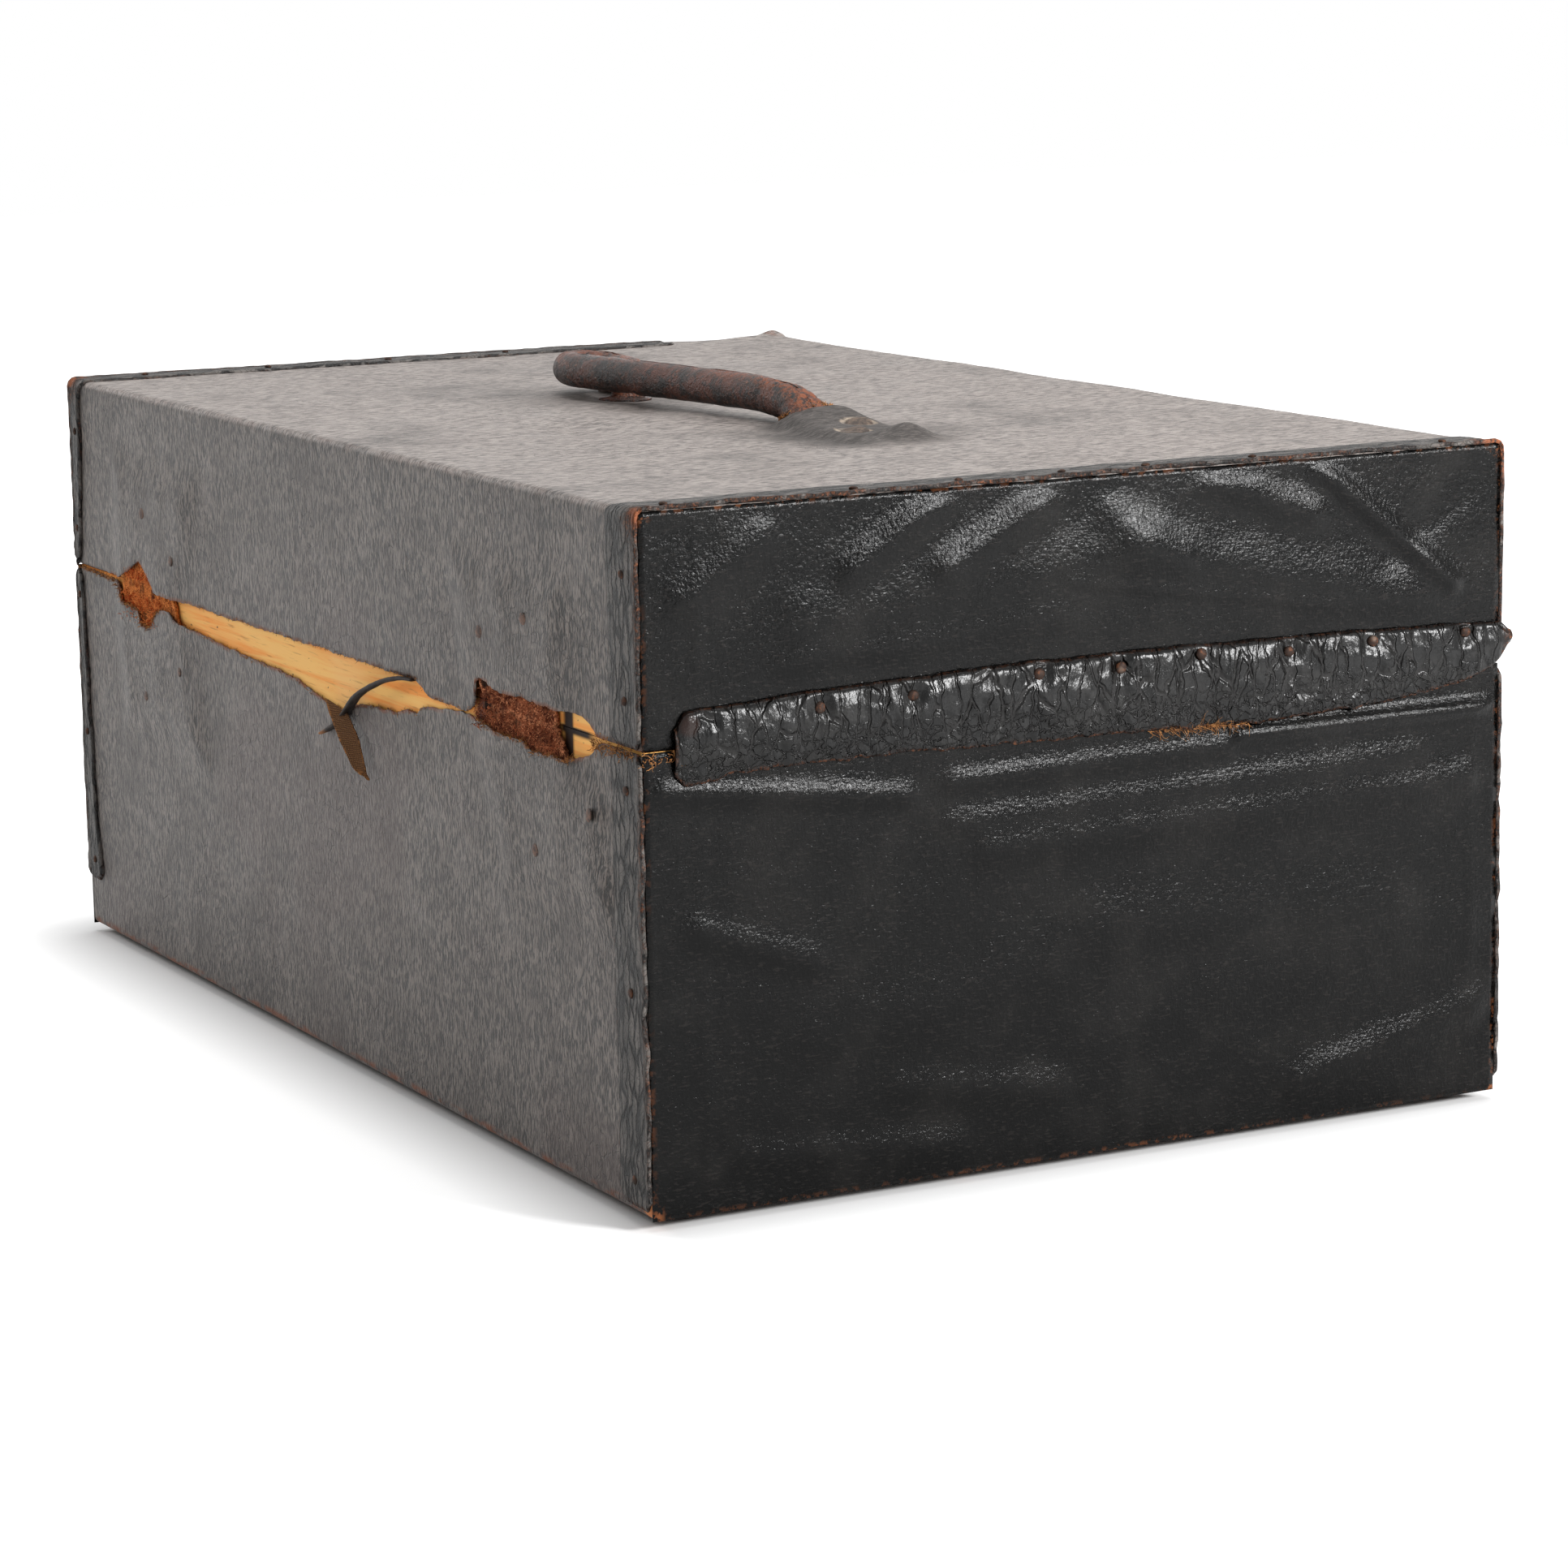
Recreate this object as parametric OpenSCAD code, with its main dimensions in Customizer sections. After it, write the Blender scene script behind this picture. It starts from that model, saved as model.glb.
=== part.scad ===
// Hand-carried travel case: a softwood box on domed feet, covered in leathercloth,
// with a lid on two leather strap hinges and a rolled leather handle on top.
// Millimetres, +Z up. The origin is on the ground at the middle of the case.
// X runs along the case, with the near end at -X. The hinges are at +Y.

/* [Case] */
// Length of the case over its covering
case_l = 610; // [520:1:700]
// Width of the case over its covering
case_w = 376; // [330:1:440]
// Height of the closed case over its covering, without the feet
case_h = 261; // [240:1:300]
// Height of the opening seam above the underside
seam_h = 174; // [150:1:185]
// Gap between the two rims when the lid is shut
seam_gap = 0.3; // [0.2:0.1:1]
// Radius of the long outer edges
edge_r = 3; // [2:0.5:6]

/* [Boards] */
// Thickness of the four walls, base and lid alike
wall_t = 9; // [7:0.5:12]
// Thickness of the lid's top board
top_t = 8; // [6:0.5:12]
// Thickness of the bottom board
bottom_t = 8; // [6:0.5:12]
// Diameter of the wire nails that join the boards
wire_nail_d = 1.8; // [1.4:0.1:2.4]
// Length of the wire nails
wire_nail_l = 28; // [20:1:36]
// Distance of the outermost wire nails from the ends of each board's edge
wire_nail_inset = 30; // [15:1:45]

/* [Covering] */
// Thickness of the leathercloth
cloth_t = 1; // [0.6:0.1:1.5]
// Thickness of the paper lining
lining_t = 0.6; // [0.4:0.1:1]
// How far the lining stops short of each rim
lining_inset = 3; // [1:0.5:6]
// Width of the leather edge bindings
bind_w = 27; // [20:1:36]
// Thickness of the bindings
bind_t = 1.6; // [1:0.1:2.5]
// How far up from the underside the far binding of the base starts
far_bind_start = 23; // [10:1:40]
// How much of the far top binding is lost, from the front edge
far_bind_lost = 65; // [30:1:110]

/* [Dust flaps] */
// Thickness of the leather dust flaps over the seam
flap_t = 2; // [1.2:0.1:3]
// How far the flaps reach above the seam
flap_up = 14; // [10:1:20]
// How far the flaps hang below the seam
flap_down = 13; // [8:1:14]
// Distance of the end flaps from the back edge
flap_back = 12; // [4:1:24]
// How far the end flaps stand past the front corners
flap_jut = 4.5; // [2:0.5:8]
// Clearance between the flaps and the walls
flap_clear = 0.3; // [0.2:0.1:0.8]

/* [Tacks] */
// Diameter of a tack head
tack_d = 4; // [3:0.1:5]
// Height of a tack head
tack_head_h = 0.8; // [0.5:0.1:1.2]
// Diameter of a tack shank
tack_shank_d = 1.4; // [1:0.1:1.8]
// Length of a tack under its head
tack_l = 8; // [5:0.5:9]
// Distance of the outermost tacks from the ends of the front flap
flap_tack_inset = 14; // [8:1:30]

/* [Strap hinges] */
// Distance of each hinge from the end of the case
strap_in = 100; // [80:1:130]
// Width of a strap where it crosses the seam
strap_w = 66; // [50:1:80]
// Width of a strap at its nailed ends
strap_end_w = 78; // [60:1:90]
// Reach of a strap up the lid
strap_up = 44; // [40:1:60]
// Reach of a strap down the base
strap_down = 58; // [54:1:80]
// Thickness of the strap leather
strap_t = 2.5; // [1.5:0.1:3.5]
// Clearance round a strap under the covering
strap_clear = 0.2; // [0.1:0.1:0.5]
// Diameter of a hinge nail head
hinge_nail_d = 5.5; // [4:0.1:7]
// Length of a hinge nail under its head
hinge_nail_l = 10; // [8:0.5:11]
// Clearance of the hinge line outboard of the nail heads
hinge_clear = 0.5; // [0.3:0.1:1.5]

/* [Handle] */
// Diameter of the rolled leather grip
grip_d = 15.2; // [13:0.1:17]
// Diameter of the rope core in the grip
core_d = 9; // [6:0.1:10]
// Clearance round the core
core_clear = 0.2; // [0.1:0.1:0.4]
// Clearance of the swinging grip over the rivet heads
handle_lift = 0.9; // [0.6:0.1:3]
// Gap at each place where a leg flexes
flex_gap = 0.3; // [0.2:0.1:0.6]
// Width of a handle tab
tab_w = 28; // [24:0.5:34]
// Thickness of a handle tab
tab_t = 3; // [2:0.1:4]
// How far the near tab stands above the top board
tab_proud = 1.8; // [0.5:0.1:2.5]
// Clearance round a tab
tab_clear = 0.3; // [0.1:0.1:0.5]
// Diameter of the leather collar at the far leg
collar_d = 23; // [21:0.5:26]
// Thickness of the collar
collar_t = 1.2; // [0.8:0.1:1.6]
// Diameter of a handle rivet shank
rivet_d = 4; // [3:0.1:5]
// Diameter of a handle rivet head
rivet_head_d = 10.5; // [8:0.1:13]
// Height of a handle rivet head
rivet_head_h = 1.2; // [0.8:0.1:2]
// Clearance of the rivets in their holes
rivet_clear = 0.1; // [0.05:0.05:0.3]

/* [Swing hooks] */
// Distance of each hook pivot from the end of the case
hook_in = 135; // [110:1:160]
// Height of the hook pivots above the seam
pivot_up = 27; // [24:1:32]
// Depth of the catch studs below the seam
stud_down = 20; // [20:1:24]
// Thickness of a hook
hook_t = 2; // [1.5:0.1:3]
// Width of a hook
hook_w = 11; // [9:0.5:14]
// Diameter of the pivots where the hooks turn
pivot_d = 6; // [4:0.1:7]
// Radial running clearance of the hooks on their pivots
pivot_clear = 0.05; // [0.02:0.01:0.1]
// Diameter of the stud necks that the hooks catch
stud_d = 5; // [4:0.1:6]
// Clearance of the hooks round the stud necks
stud_clear = 0.6; // [0.2:0.1:1]
// Free play of a hook along its pivot, on each side
hook_play = 0.2; // [0.1:0.1:0.5]
// Height of the pivot and stud heads
knob_head_h = 1.2; // [0.8:0.1:2]

/* [Feet] */
// Height of the domed feet
foot_h = 4; // [3:0.5:8]
// Diameter of the feet where they meet the case
foot_d = 24; // [16:0.5:30]
// Diameter of the worn flat under a foot
foot_flat_d = 8; // [5:0.5:12]
// Distance of the feet from the edges of the case
foot_in = 16; // [15:0.5:30]
// Diameter of the spike that holds a foot
foot_spike_d = 3; // [2:0.1:4]

/* [Hidden] */

$fn = 32;
eps = 0.01;

half_l = case_l / 2;
half_w = case_w / 2;
bottom_z = foot_h;
seam_z = bottom_z + seam_h;
lid_z = seam_z + seam_gap;
top_z = bottom_z + case_h;
lid_h = top_z - lid_z;

// Outer faces of the woodwork
board_x = half_l - cloth_t;
board_y = half_w - cloth_t;
floor_z = bottom_z + cloth_t + bottom_t;
ceiling_z = top_z - cloth_t - top_t;
end_board_y = board_y - wall_t;

// The hinge line lies just outboard of all that stands proud on the back
strap_proud = strap_t + strap_clear;
hinge_y = half_w + strap_proud + tack_head_h + hinge_clear;

// Colours
wood = [0.86, 0.62, 0.34];
cloth = [0.17, 0.16, 0.16];
gloss_cloth = [0.06, 0.06, 0.06];
binding_leather = [0.12, 0.10, 0.10];
brown_leather = [0.30, 0.14, 0.08];
red_leather = [0.45, 0.20, 0.10];
iron = [0.22, 0.15, 0.11];
paper = [0.70, 0.62, 0.48];

// Across the case: a 2-D section with rounded long edges, grown all round by g
module section(g) {
    r = edge_r + g;
    w = half_w + g;
    low = bottom_z - g;
    high = top_z + g;
    translate([-w, low + r]) square([2 * w, high - low - 2 * r]);
    translate([-w + r, low]) square([2 * (w - r), high - low]);
    for (y = [-w + r, w - r], z = [low + r, high - r])
        translate([y, z]) circle(r);
}

// The part of a section between two heights
module between(z0, z1) {
    intersection() {
        children();
        translate([-case_w, z0]) square([2 * case_w, z1 - z0]);
    }
}

// Runs a section along the case from x0 to x1
module along(x0, x1) {
    translate([x0, 0, 0])
        rotate([90, 0, 90])
            linear_extrude(x1 - x0) children();
}

// Runs an outline in X and Z out along +Y from y0 to y1
module outward(y0, y1) {
    translate([0, y1, 0])
        rotate([90, 0, 0])
            linear_extrude(y1 - y0) children();
}

// A block between two corners
module block(a, b) {
    translate(a) cube(b - a);
}

// A pin from a point along a unit direction that is +X, -X, +Y, -Y, +Z or -Z
module pin(at, dir, d, l) {
    translate(at)
        rotate(dir.x != 0 ? [0, 90 * dir.x, 0] : dir.y != 0 ? [-90 * dir.y, 0, 0] : [dir.z < 0 ? 180 : 0, 0, 0])
            cylinder(d = d, h = l);
}

// A nail or tack: its head stands on the surface at "at", and "dir" points out of it
module tack(at, dir, head_d, shank_d, l) {
    pin(at, dir, head_d, tack_head_h);
    pin(at, -dir, shank_d, l);
}

// Woodwork of the base

module base_wall(side) {
    y0 = side > 0 ? end_board_y : -board_y;
    block([-board_x, y0, floor_z], [board_x, y0 + wall_t, seam_z]);
}

module base_front_board() {
    color(wood) base_wall(-1);
}

module base_back_board() {
    color(wood) base_wall(1);
}

module base_end(side) {
    x0 = side > 0 ? board_x - wall_t : -board_x;
    block([x0, -end_board_y, floor_z], [x0 + wall_t, end_board_y, seam_z]);
}

module base_near_end_board() {
    color(wood) base_end(-1);
}

module base_far_end_board() {
    color(wood) base_end(1);
}

module base_bottom_board() {
    color(wood) along(-board_x, board_x)
        between(bottom_z, floor_z) section(-cloth_t);
}

// Wire nails through the long walls into the end boards, with heads flush in the wood
module corner_nails(z0, z1, count) {
    for (sx = [-1, 1], sy = [-1, 1], i = [0:count - 1]) {
        x = sx * (board_x - wall_t / 2);
        z = z0 + (z1 - z0) * (i + 0.5) / count;
        pin([x, sy * (board_y - eps), z], [0, -sy, 0], 2.4 * wire_nail_d, 0.8);
        pin([x, sy * (board_y - eps), z], [0, -sy, 0], wire_nail_d, wire_nail_l);
    }
}

// Wire nails through the top or bottom board into the walls; dir points into the wall
module panel_nails(z, dir) {
    long_row = 5;
    short_row = 3;
    for (sy = [-1, 1], i = [0:long_row - 1]) {
        x = (i / (long_row - 1) - 0.5) * 2 * (board_x - wire_nail_inset);
        at = [x, sy * (board_y - wall_t / 2), z];
        pin(at, [0, 0, dir], 2.4 * wire_nail_d, 0.8);
        pin(at, [0, 0, dir], wire_nail_d, wire_nail_l);
    }
    for (sx = [-1, 1], i = [0:short_row - 1]) {
        y = (i / (short_row - 1) - 0.5) * 2 * (end_board_y - wire_nail_inset);
        at = [sx * (board_x - wall_t / 2), y, z];
        pin(at, [0, 0, dir], 2.4 * wire_nail_d, 0.8);
        pin(at, [0, 0, dir], wire_nail_d, wire_nail_l);
    }
}

module base_joint_nails() {
    color(iron) {
        corner_nails(floor_z + wire_nail_l, seam_z, 3);
        panel_nails(bottom_z + cloth_t + eps, 1);
    }
}

// Hinge straps: their outlines on the back of the case

// Middle of a strap at its upper end, at the seam and at its lower end, from the
// hinge's nominal place; the strap at the near end was nailed on askew
function strap_x(side, level) =
    side * (half_l - strap_in)
    + (side > 0 ? [-9, 2, -11][level] : [15, 4, -27][level]);

// A strap flares from the seam to its full width over a short stretch
strap_flare = 22;

module strap_outline(side, upper, g) {
    up = upper ? 1 : -1;
    x_seam = strap_x(side, 1);
    x_end = strap_x(side, upper ? 0 : 2);
    z_seam = upper ? lid_z : seam_z;
    z_flare = z_seam + up * strap_flare;
    z_end = z_seam + up * ((upper ? strap_up : strap_down) + g);
    half_seam = strap_w / 2 + g;
    half_end = strap_end_w / 2 + g;
    polygon([
        [x_seam - half_seam, z_seam], [x_seam + half_seam, z_seam],
        [x_end + half_end, z_flare], [x_end + half_end, z_end],
        [x_end - half_end, z_end], [x_end - half_end, z_flare]
    ]);
}

module straps(upper, g) {
    for (side = [-1, 1])
        outward(board_y, board_y + strap_t + g) strap_outline(side, upper, g);
}

// The covering swells over each strap, and slopes away round it
module strap_swells(upper) {
    slope = 6;
    for (side = [-1, 1])
        hull() {
            outward(board_y, half_w) strap_outline(side, upper, slope);
            outward(half_w + strap_proud - eps, half_w + strap_proud)
                strap_outline(side, upper, cloth_t);
        }
}

module base_hinge_straps() {
    color(red_leather) straps(false, 0);
}

module lid_hinge_straps() {
    color(red_leather) straps(true, 0);
}

// Nails through the covering and the straps: which end, distance from the strap's
// middle at the seam, and height from the seam
base_nail_places = [[1, [-41, -33]], [1, [4, -50]], [-1, [-62, -29]], [-1, [-14, -50]]];
lid_nail_places = [[1, [0, 34]], [1, [-35, 16]], [-1, [33, 27]], [-1, [-8, 37]]];

module hinge_nails(places) {
    for (p = places) {
        x = strap_x(p[0], 1) + p[1].x;
        z = (p[1].y > 0 ? lid_z : seam_z) + p[1].y;
        tack([x, half_w + strap_proud, z], [0, 1, 0], hinge_nail_d, tack_shank_d, hinge_nail_l);
    }
}

module base_hinge_nails() {
    color(iron) hinge_nails(base_nail_places);
}

module lid_hinge_nails() {
    color(iron) hinge_nails(lid_nail_places);
}

// The tear in the covering of the base, just under the seam. Each point has its share
// of the way from the middle to a hinge, a distance on from there, and a depth
tear = [
    [-1, -38, 1], [-1, -35, 8], [-1, -19, 14], [-1, 1, 17], [-1, 25, 15], [-1, 36, 6],
    [-0.66, 0, 8], [-0.43, 0, 13], [-0.29, 0, 20], [-0.14, 0, 25], [0.05, 0, 22],
    [0.28, 0, 16], [0.58, 0, 10], [1, -27, 6], [1, -19, 10], [1, 1, 12], [1, 29, 9], [1, 38, 1]
];

function along_case(share, on) = share * (half_l - strap_in) + on;

module tear_outline() {
    edge = [for (p = tear) [along_case(p[0], p[1]), seam_z - p[2]]];
    polygon(concat(edge, [[edge[len(edge) - 1].x, seam_z + 1], [edge[0].x, seam_z + 1]]));
}

module base_covering() {
    color(cloth) difference() {
        union() {
            along(-board_x, board_x) between(bottom_z - eps, seam_z) difference() {
                section(0);
                section(-cloth_t);
            }
            strap_swells(false);
        }
        straps(false, strap_clear);
        outward(board_y - 1, half_w + 2 * strap_proud) tear_outline();
    }
}

module end_panel(side, z0, z1) {
    x0 = side > 0 ? half_l - cloth_t : -half_l;
    along(x0, x0 + cloth_t) between(z0, z1) section(0);
}

module base_near_end_panel() {
    color(gloss_cloth) end_panel(-1, bottom_z - eps, seam_z);
}

module base_far_end_panel() {
    color(gloss_cloth) end_panel(1, bottom_z - eps, seam_z);
}

// Bindings of the base: one strip up the back and one up the front, at each end
module base_strips(side, z0) {
    x0 = side > 0 ? half_l - bind_w : -half_l;
    for (sy = [-1, 1]) {
        y0 = sy > 0 ? half_w : -half_w - bind_t;
        block([x0, y0, z0], [x0 + bind_w, y0 + bind_t, seam_z]);
    }
}

module base_near_binding() {
    color(binding_leather) base_strips(-1, bottom_z + edge_r);
}

module base_far_binding() {
    color(binding_leather) base_strips(1, bottom_z + far_bind_start);
}

module base_binding_tacks() {
    color(iron) for (side = [-1, 1], sy = [-1, 1], share = [0.04, 0.47, 0.93]) {
        x = side * (half_l - bind_w * 0.45);
        z0 = bottom_z + (side > 0 ? far_bind_start : edge_r) + tack_d;
        z = z0 + (seam_z - z0 - tack_d) * share;
        tack([x, sy * (half_w + bind_t), z], [0, sy, 0], tack_d, tack_shank_d, tack_l);
    }
}

module base_lining() {
    x = board_x - wall_t;
    y = end_board_y;
    color(paper) difference() {
        block([-x, -y, floor_z], [x, y, seam_z - lining_inset]);
        block([-x + lining_t, -y + lining_t, floor_z + lining_t],
              [x - lining_t, y - lining_t, seam_z]);
    }
}

// Domed feet, each worn flat underneath and driven in on its own spike
module corner_feet() {
    r = foot_d / 2;
    flat = foot_flat_d / 2;
    ball = sqrt(r * r + pow((r * r - flat * flat - foot_h * foot_h) / (2 * foot_h), 2));
    ball_z = foot_h + sqrt(ball * ball - r * r) * (r * r - flat * flat > foot_h * foot_h ? 1 : -1);
    color(iron) for (sx = [-1, 1], sy = [-1, 1])
        translate([sx * (half_l - foot_in), sy * (half_w - foot_in), 0]) {
            intersection() {
                translate([0, 0, ball_z]) sphere(ball, $fn = 48);
                cylinder(r = r, h = foot_h);
            }
            translate([0, 0, foot_h - eps]) cylinder(d = foot_spike_d, h = bottom_t);
        }
}

// Shreds hanging from the tear

function along_route(p, i, t) =
    let (a = p[max(i - 1, 0)], b = p[i], c = p[i + 1], d = p[min(i + 2, len(p) - 1)])
    0.5 * (2 * b + (c - a) * t + (2 * a - 5 * b + 4 * c - d) * t * t
           + (3 * b - a - 3 * c + d) * t * t * t);

function smooth_route(p, steps) = concat(
    [for (i = [0:len(p) - 2], s = [0:steps - 1]) along_route(p, i, s / steps)],
    [p[len(p) - 1]]
);

function unit(v) = v / norm(v);

// A round-edged strip or tube along a route: half width a, half height b at each point
module sweep(route, a, b, sides) {
    n = len(route);
    heading = [for (i = [0:n - 1]) unit(route[min(i + 1, n - 1)] - route[max(i - 1, 0)])];
    points = [
        for (i = [0:n - 1])
            let (across = unit(cross(heading[i], [0, 0, 1])), up = cross(across, heading[i]))
            for (k = [0:sides - 1])
                let (turn = 360 * (k + 0.5) / sides)
                route[i] + across * a[i] * cos(turn) + up * b[i] * sin(turn)
    ];
    rim = [
        for (i = [0:n - 2], k = [0:sides - 1])
            let (p = i * sides + k, q = i * sides + (k + 1) % sides)
            each [[p, q, q + sides], [p, q + sides, p + sides]]
    ];
    start_cap = [for (k = [1:sides - 2]) [0, k + 1, k]];
    end_cap = [for (k = [1:sides - 2]) (n - 1) * sides * [1, 1, 1] + [0, k, k + 1]];
    polyhedron(points, concat(rim, start_cap, end_cap));
}

function same(value, count) = [for (i = [1:count]) value];

// A strip of the woven backing that hangs from the lower edge of the tear
tape_w = 5;
tape_t = 0.8;
tape_l = 43;
tape_lean = -35;

module torn_tape() {
    color(brown_leather)
        translate([along_case(-0.055, 0), half_w, seam_z - 24])
            rotate([0, tape_lean, 0])
                translate([-tape_l, 0, -tape_w / 2])
                    cube([tape_l, tape_t, tape_w]);
}

// The welt that edged the covering, pulled out in an arc. Each point has its share of
// the way to a hinge, its distance out from the covering, and its depth
welt_d = 3.8;
welt_route = [
    [-0.45, 1.1, 4], [-0.35, 2.6, 3.5], [-0.24, 3.8, 8], [-0.15, 4, 16], [-0.07, 3.8, 26],
    [-0.02, 3.4, 34]
];

module torn_welt() {
    corners = [for (p = welt_route) [along_case(p[0], 0), half_w + p[1], seam_z - p[2]]];
    route = smooth_route(corners, 4);
    r = same(welt_d / 2, len(route));
    color(brown_leather) sweep(route, r, r, 8);
}

// Woodwork of the lid

module lid_wall(side) {
    y0 = side > 0 ? end_board_y : -board_y;
    block([-board_x, y0, lid_z], [board_x, y0 + wall_t, ceiling_z]);
}

module lid_front_board() {
    color(wood) lid_wall(-1);
}

module lid_back_board() {
    color(wood) lid_wall(1);
}

module lid_end(side) {
    x0 = side > 0 ? board_x - wall_t : -board_x;
    block([x0, -end_board_y, lid_z], [x0 + wall_t, end_board_y, ceiling_z]);
}

module lid_near_end_board() {
    color(wood) lid_end(-1);
}

module lid_far_end_board() {
    color(wood) lid_end(1);
}

module lid_top_board() {
    color(wood) difference() {
        along(-board_x, board_x) between(ceiling_z, top_z) section(-cloth_t);
        for (side = [-1, 1]) tab_plate(side, tab_clear, cloth_t);
        rivet_holes();
    }
}

module lid_joint_nails() {
    color(iron) {
        corner_nails(lid_z, ceiling_z, 2);
        panel_nails(top_z - cloth_t - eps, -1);
    }
}

// Handle: the tabs lie in pockets under the covering, and the legs flex on one line

flex_y = 5;
axis_z = top_z + rivet_head_h + handle_lift + grip_d / 2;
near_flex_x = -70;
far_flex_x = 76;
// Where each tab starts and ends along the case, and its middle line across it
near_tab = [-160, -90];
far_tab = [60, 110];
near_tab_y = 2;
far_tab_y = 8;
// The rivets, two through each tab
rivets = [[-116, -5], [-137, 9], [82, 2], [95, 7]];
rivet_hole_d = rivet_d + 2 * rivet_clear;

// Underside of a tab in its pocket, and top of the covering over it: the far tab lies
// flush, and the near one stands proud
function tab_low(side) = top_z - cloth_t - tab_clear - tab_t + (side < 0 ? tab_proud : 0);
function tab_cover(side) = tab_low(side) + tab_t + tab_clear + cloth_t;

// A flat tab with a rounded outer end, grown by g all round, and by up as well on top
module tab_plate(side, g, up = 0) {
    ends = side > 0 ? far_tab : near_tab;
    y = side > 0 ? far_tab_y : near_tab_y;
    r = tab_w / 2;
    round_x = side > 0 ? ends[1] - r : ends[0] + r;
    inner_x = side > 0 ? ends[0] - g : ends[1] + g;
    translate([0, 0, tab_low(side)]) {
        translate([round_x, y, 0]) cylinder(r = r + g, h = tab_t + g + up);
        block([min(round_x, inner_x), y - r - g, 0], [max(round_x, inner_x), y + r + g, tab_t + g + up]);
    }
}

// Puts a child at each rivet, at the height of the top board
module rivet_places() {
    for (p = rivets) translate([p.x, p.y, top_z - cloth_t - top_t / 2]) children();
}

module rivet_holes() {
    rivet_places() cylinder(d = rivet_hole_d, h = 4 * top_t, center = true);
}

// The near leg: flat where it leaves its tab, and rolled round where it flexes. Each ring
// has its distance from the flex line along the case and across it, its share of the
// rise, and half its width and height as shares of the grip's radius
near_leg_rings = [
    [-38, -3, 0, 1.7, 0], [-31, -2.6, 0, 1.6, 0], [-26, -2, 0.25, 1.38, 0.48],
    [-18, -1, 0.62, 1.13, 0.82], [-10, -0.3, 0.9, 1.01, 0.98], [-4, 0, 1, 1, 1], [0, 0, 1, 1, 1]
];

module near_leg(g) {
    r = grip_d / 2;
    low = tab_low(-1) + tab_t / 2;
    route = [
        for (q = near_leg_rings)
            [near_flex_x + q[0], flex_y + q[1], low + (axis_z - low) * q[2]]
    ];
    sweep(route, [for (q = near_leg_rings) q[3] * r + g],
          [for (q = near_leg_rings) max(q[4] * r, tab_t / 2) + g], 16);
}

module near_handle_tab() {
    color(brown_leather) difference() {
        union() {
            tab_plate(-1, 0);
            near_leg(0);
        }
        rivet_holes();
    }
}

// The far leg rises from its tab, leans over, and turns at an elbow to where it flexes
far_root = [far_flex_x - 9, flex_y + 8];

module far_leg(g) {
    r = grip_d / 2 + g;
    knee = [far_root.x, far_root.y, tab_low(1) + grip_d / 2 - 1];
    elbow = [far_flex_x - 8, flex_y, axis_z];
    lean = elbow - knee;
    translate([far_root.x, far_root.y, tab_low(1)]) cylinder(r = r - 1, h = knee.z - tab_low(1));
    translate(knee) sphere(r - 1);
    translate(knee)
        rotate([0, acos(lean.z / norm(lean)), atan2(lean.y, lean.x)])
            cylinder(r = r - 1, h = norm(lean));
    translate(elbow) sphere(r);
    pin(elbow, [1, 0, 0], 2 * r, far_flex_x - elbow.x);
}

module far_handle_tab() {
    color(brown_leather) difference() {
        union() {
            tab_plate(1, 0);
            far_leg(0);
        }
        rivet_holes();
    }
}

// A leather collar round the far leg, on the covering
module far_handle_collar() {
    color(brown_leather) difference() {
        translate([far_root.x, far_root.y, top_z]) cylinder(d = collar_d, h = collar_t);
        far_leg(tab_clear);
    }
}

// Swell of the covering over the near tab
module tab_swell() {
    r = tab_w / 2;
    hull()
        for (x = [near_tab[0] + r, near_tab[1] - r]) {
            translate([x, near_tab_y, top_z - eps]) cylinder(r = r + 12, h = eps);
            translate([x, near_tab_y, top_z]) cylinder(r = r + 1, h = tab_cover(-1) - top_z);
        }
}

module lid_covering() {
    color(cloth) difference() {
        union() {
            along(-board_x, board_x) between(lid_z, top_z + eps) difference() {
                section(0);
                section(-cloth_t);
            }
            strap_swells(true);
            tab_swell();
        }
        straps(true, strap_clear);
        tab_plate(-1, tab_clear);
        near_leg(tab_clear);
        far_leg(tab_clear);
        rivet_holes();
    }
}

// Rivets: flat heads on the covering, and shanks down through a rove under the top
rivet_tail = 2;
rove_t = 1;

module handle_rivets() {
    tail_z = ceiling_z - lining_t - rivet_tail;
    color(iron) for (p = rivets) {
        head_z = tab_cover(sign(p.x));
        translate([p.x, p.y, head_z]) cylinder(d = rivet_head_d, h = rivet_head_h);
        translate([p.x, p.y, tail_z]) cylinder(d = rivet_d, h = head_z - tail_z + eps);
    }
}

module handle_rivet_roves() {
    color([0.72, 0.45, 0.2]) for (p = rivets)
        translate([p.x, p.y, ceiling_z - lining_t - rove_t])
            difference() {
                cylinder(d = rivet_head_d, h = rove_t);
                translate([0, 0, -1]) cylinder(d = rivet_hole_d, h = rove_t + 2);
            }
}

module lid_near_end_panel() {
    color(gloss_cloth) end_panel(-1, lid_z, top_z + eps);
}

module lid_far_end_panel() {
    color(gloss_cloth) end_panel(1, lid_z, top_z + eps);
}

module binding_section() {
    between(lid_z, top_z + 2 * bind_t) difference() {
        section(bind_t);
        section(0);
    }
}

module lid_near_binding() {
    color(binding_leather) along(-half_l, -half_l + bind_w) binding_section();
}

// The far binding has lost the front stretch of its top
module lid_far_binding() {
    color(binding_leather) difference() {
        along(half_l - bind_w, half_l) binding_section();
        block([half_l - 2 * bind_w, -half_w - edge_r, top_z - eps],
              [half_l + 1, -half_w + far_bind_lost, top_z + 2 * bind_t]);
        block([half_l - 2 * bind_w, -half_w - 2 * bind_t, top_z - edge_r - eps],
              [half_l + 1, -half_w + edge_r, top_z + 2 * bind_t]);
    }
}

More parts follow.
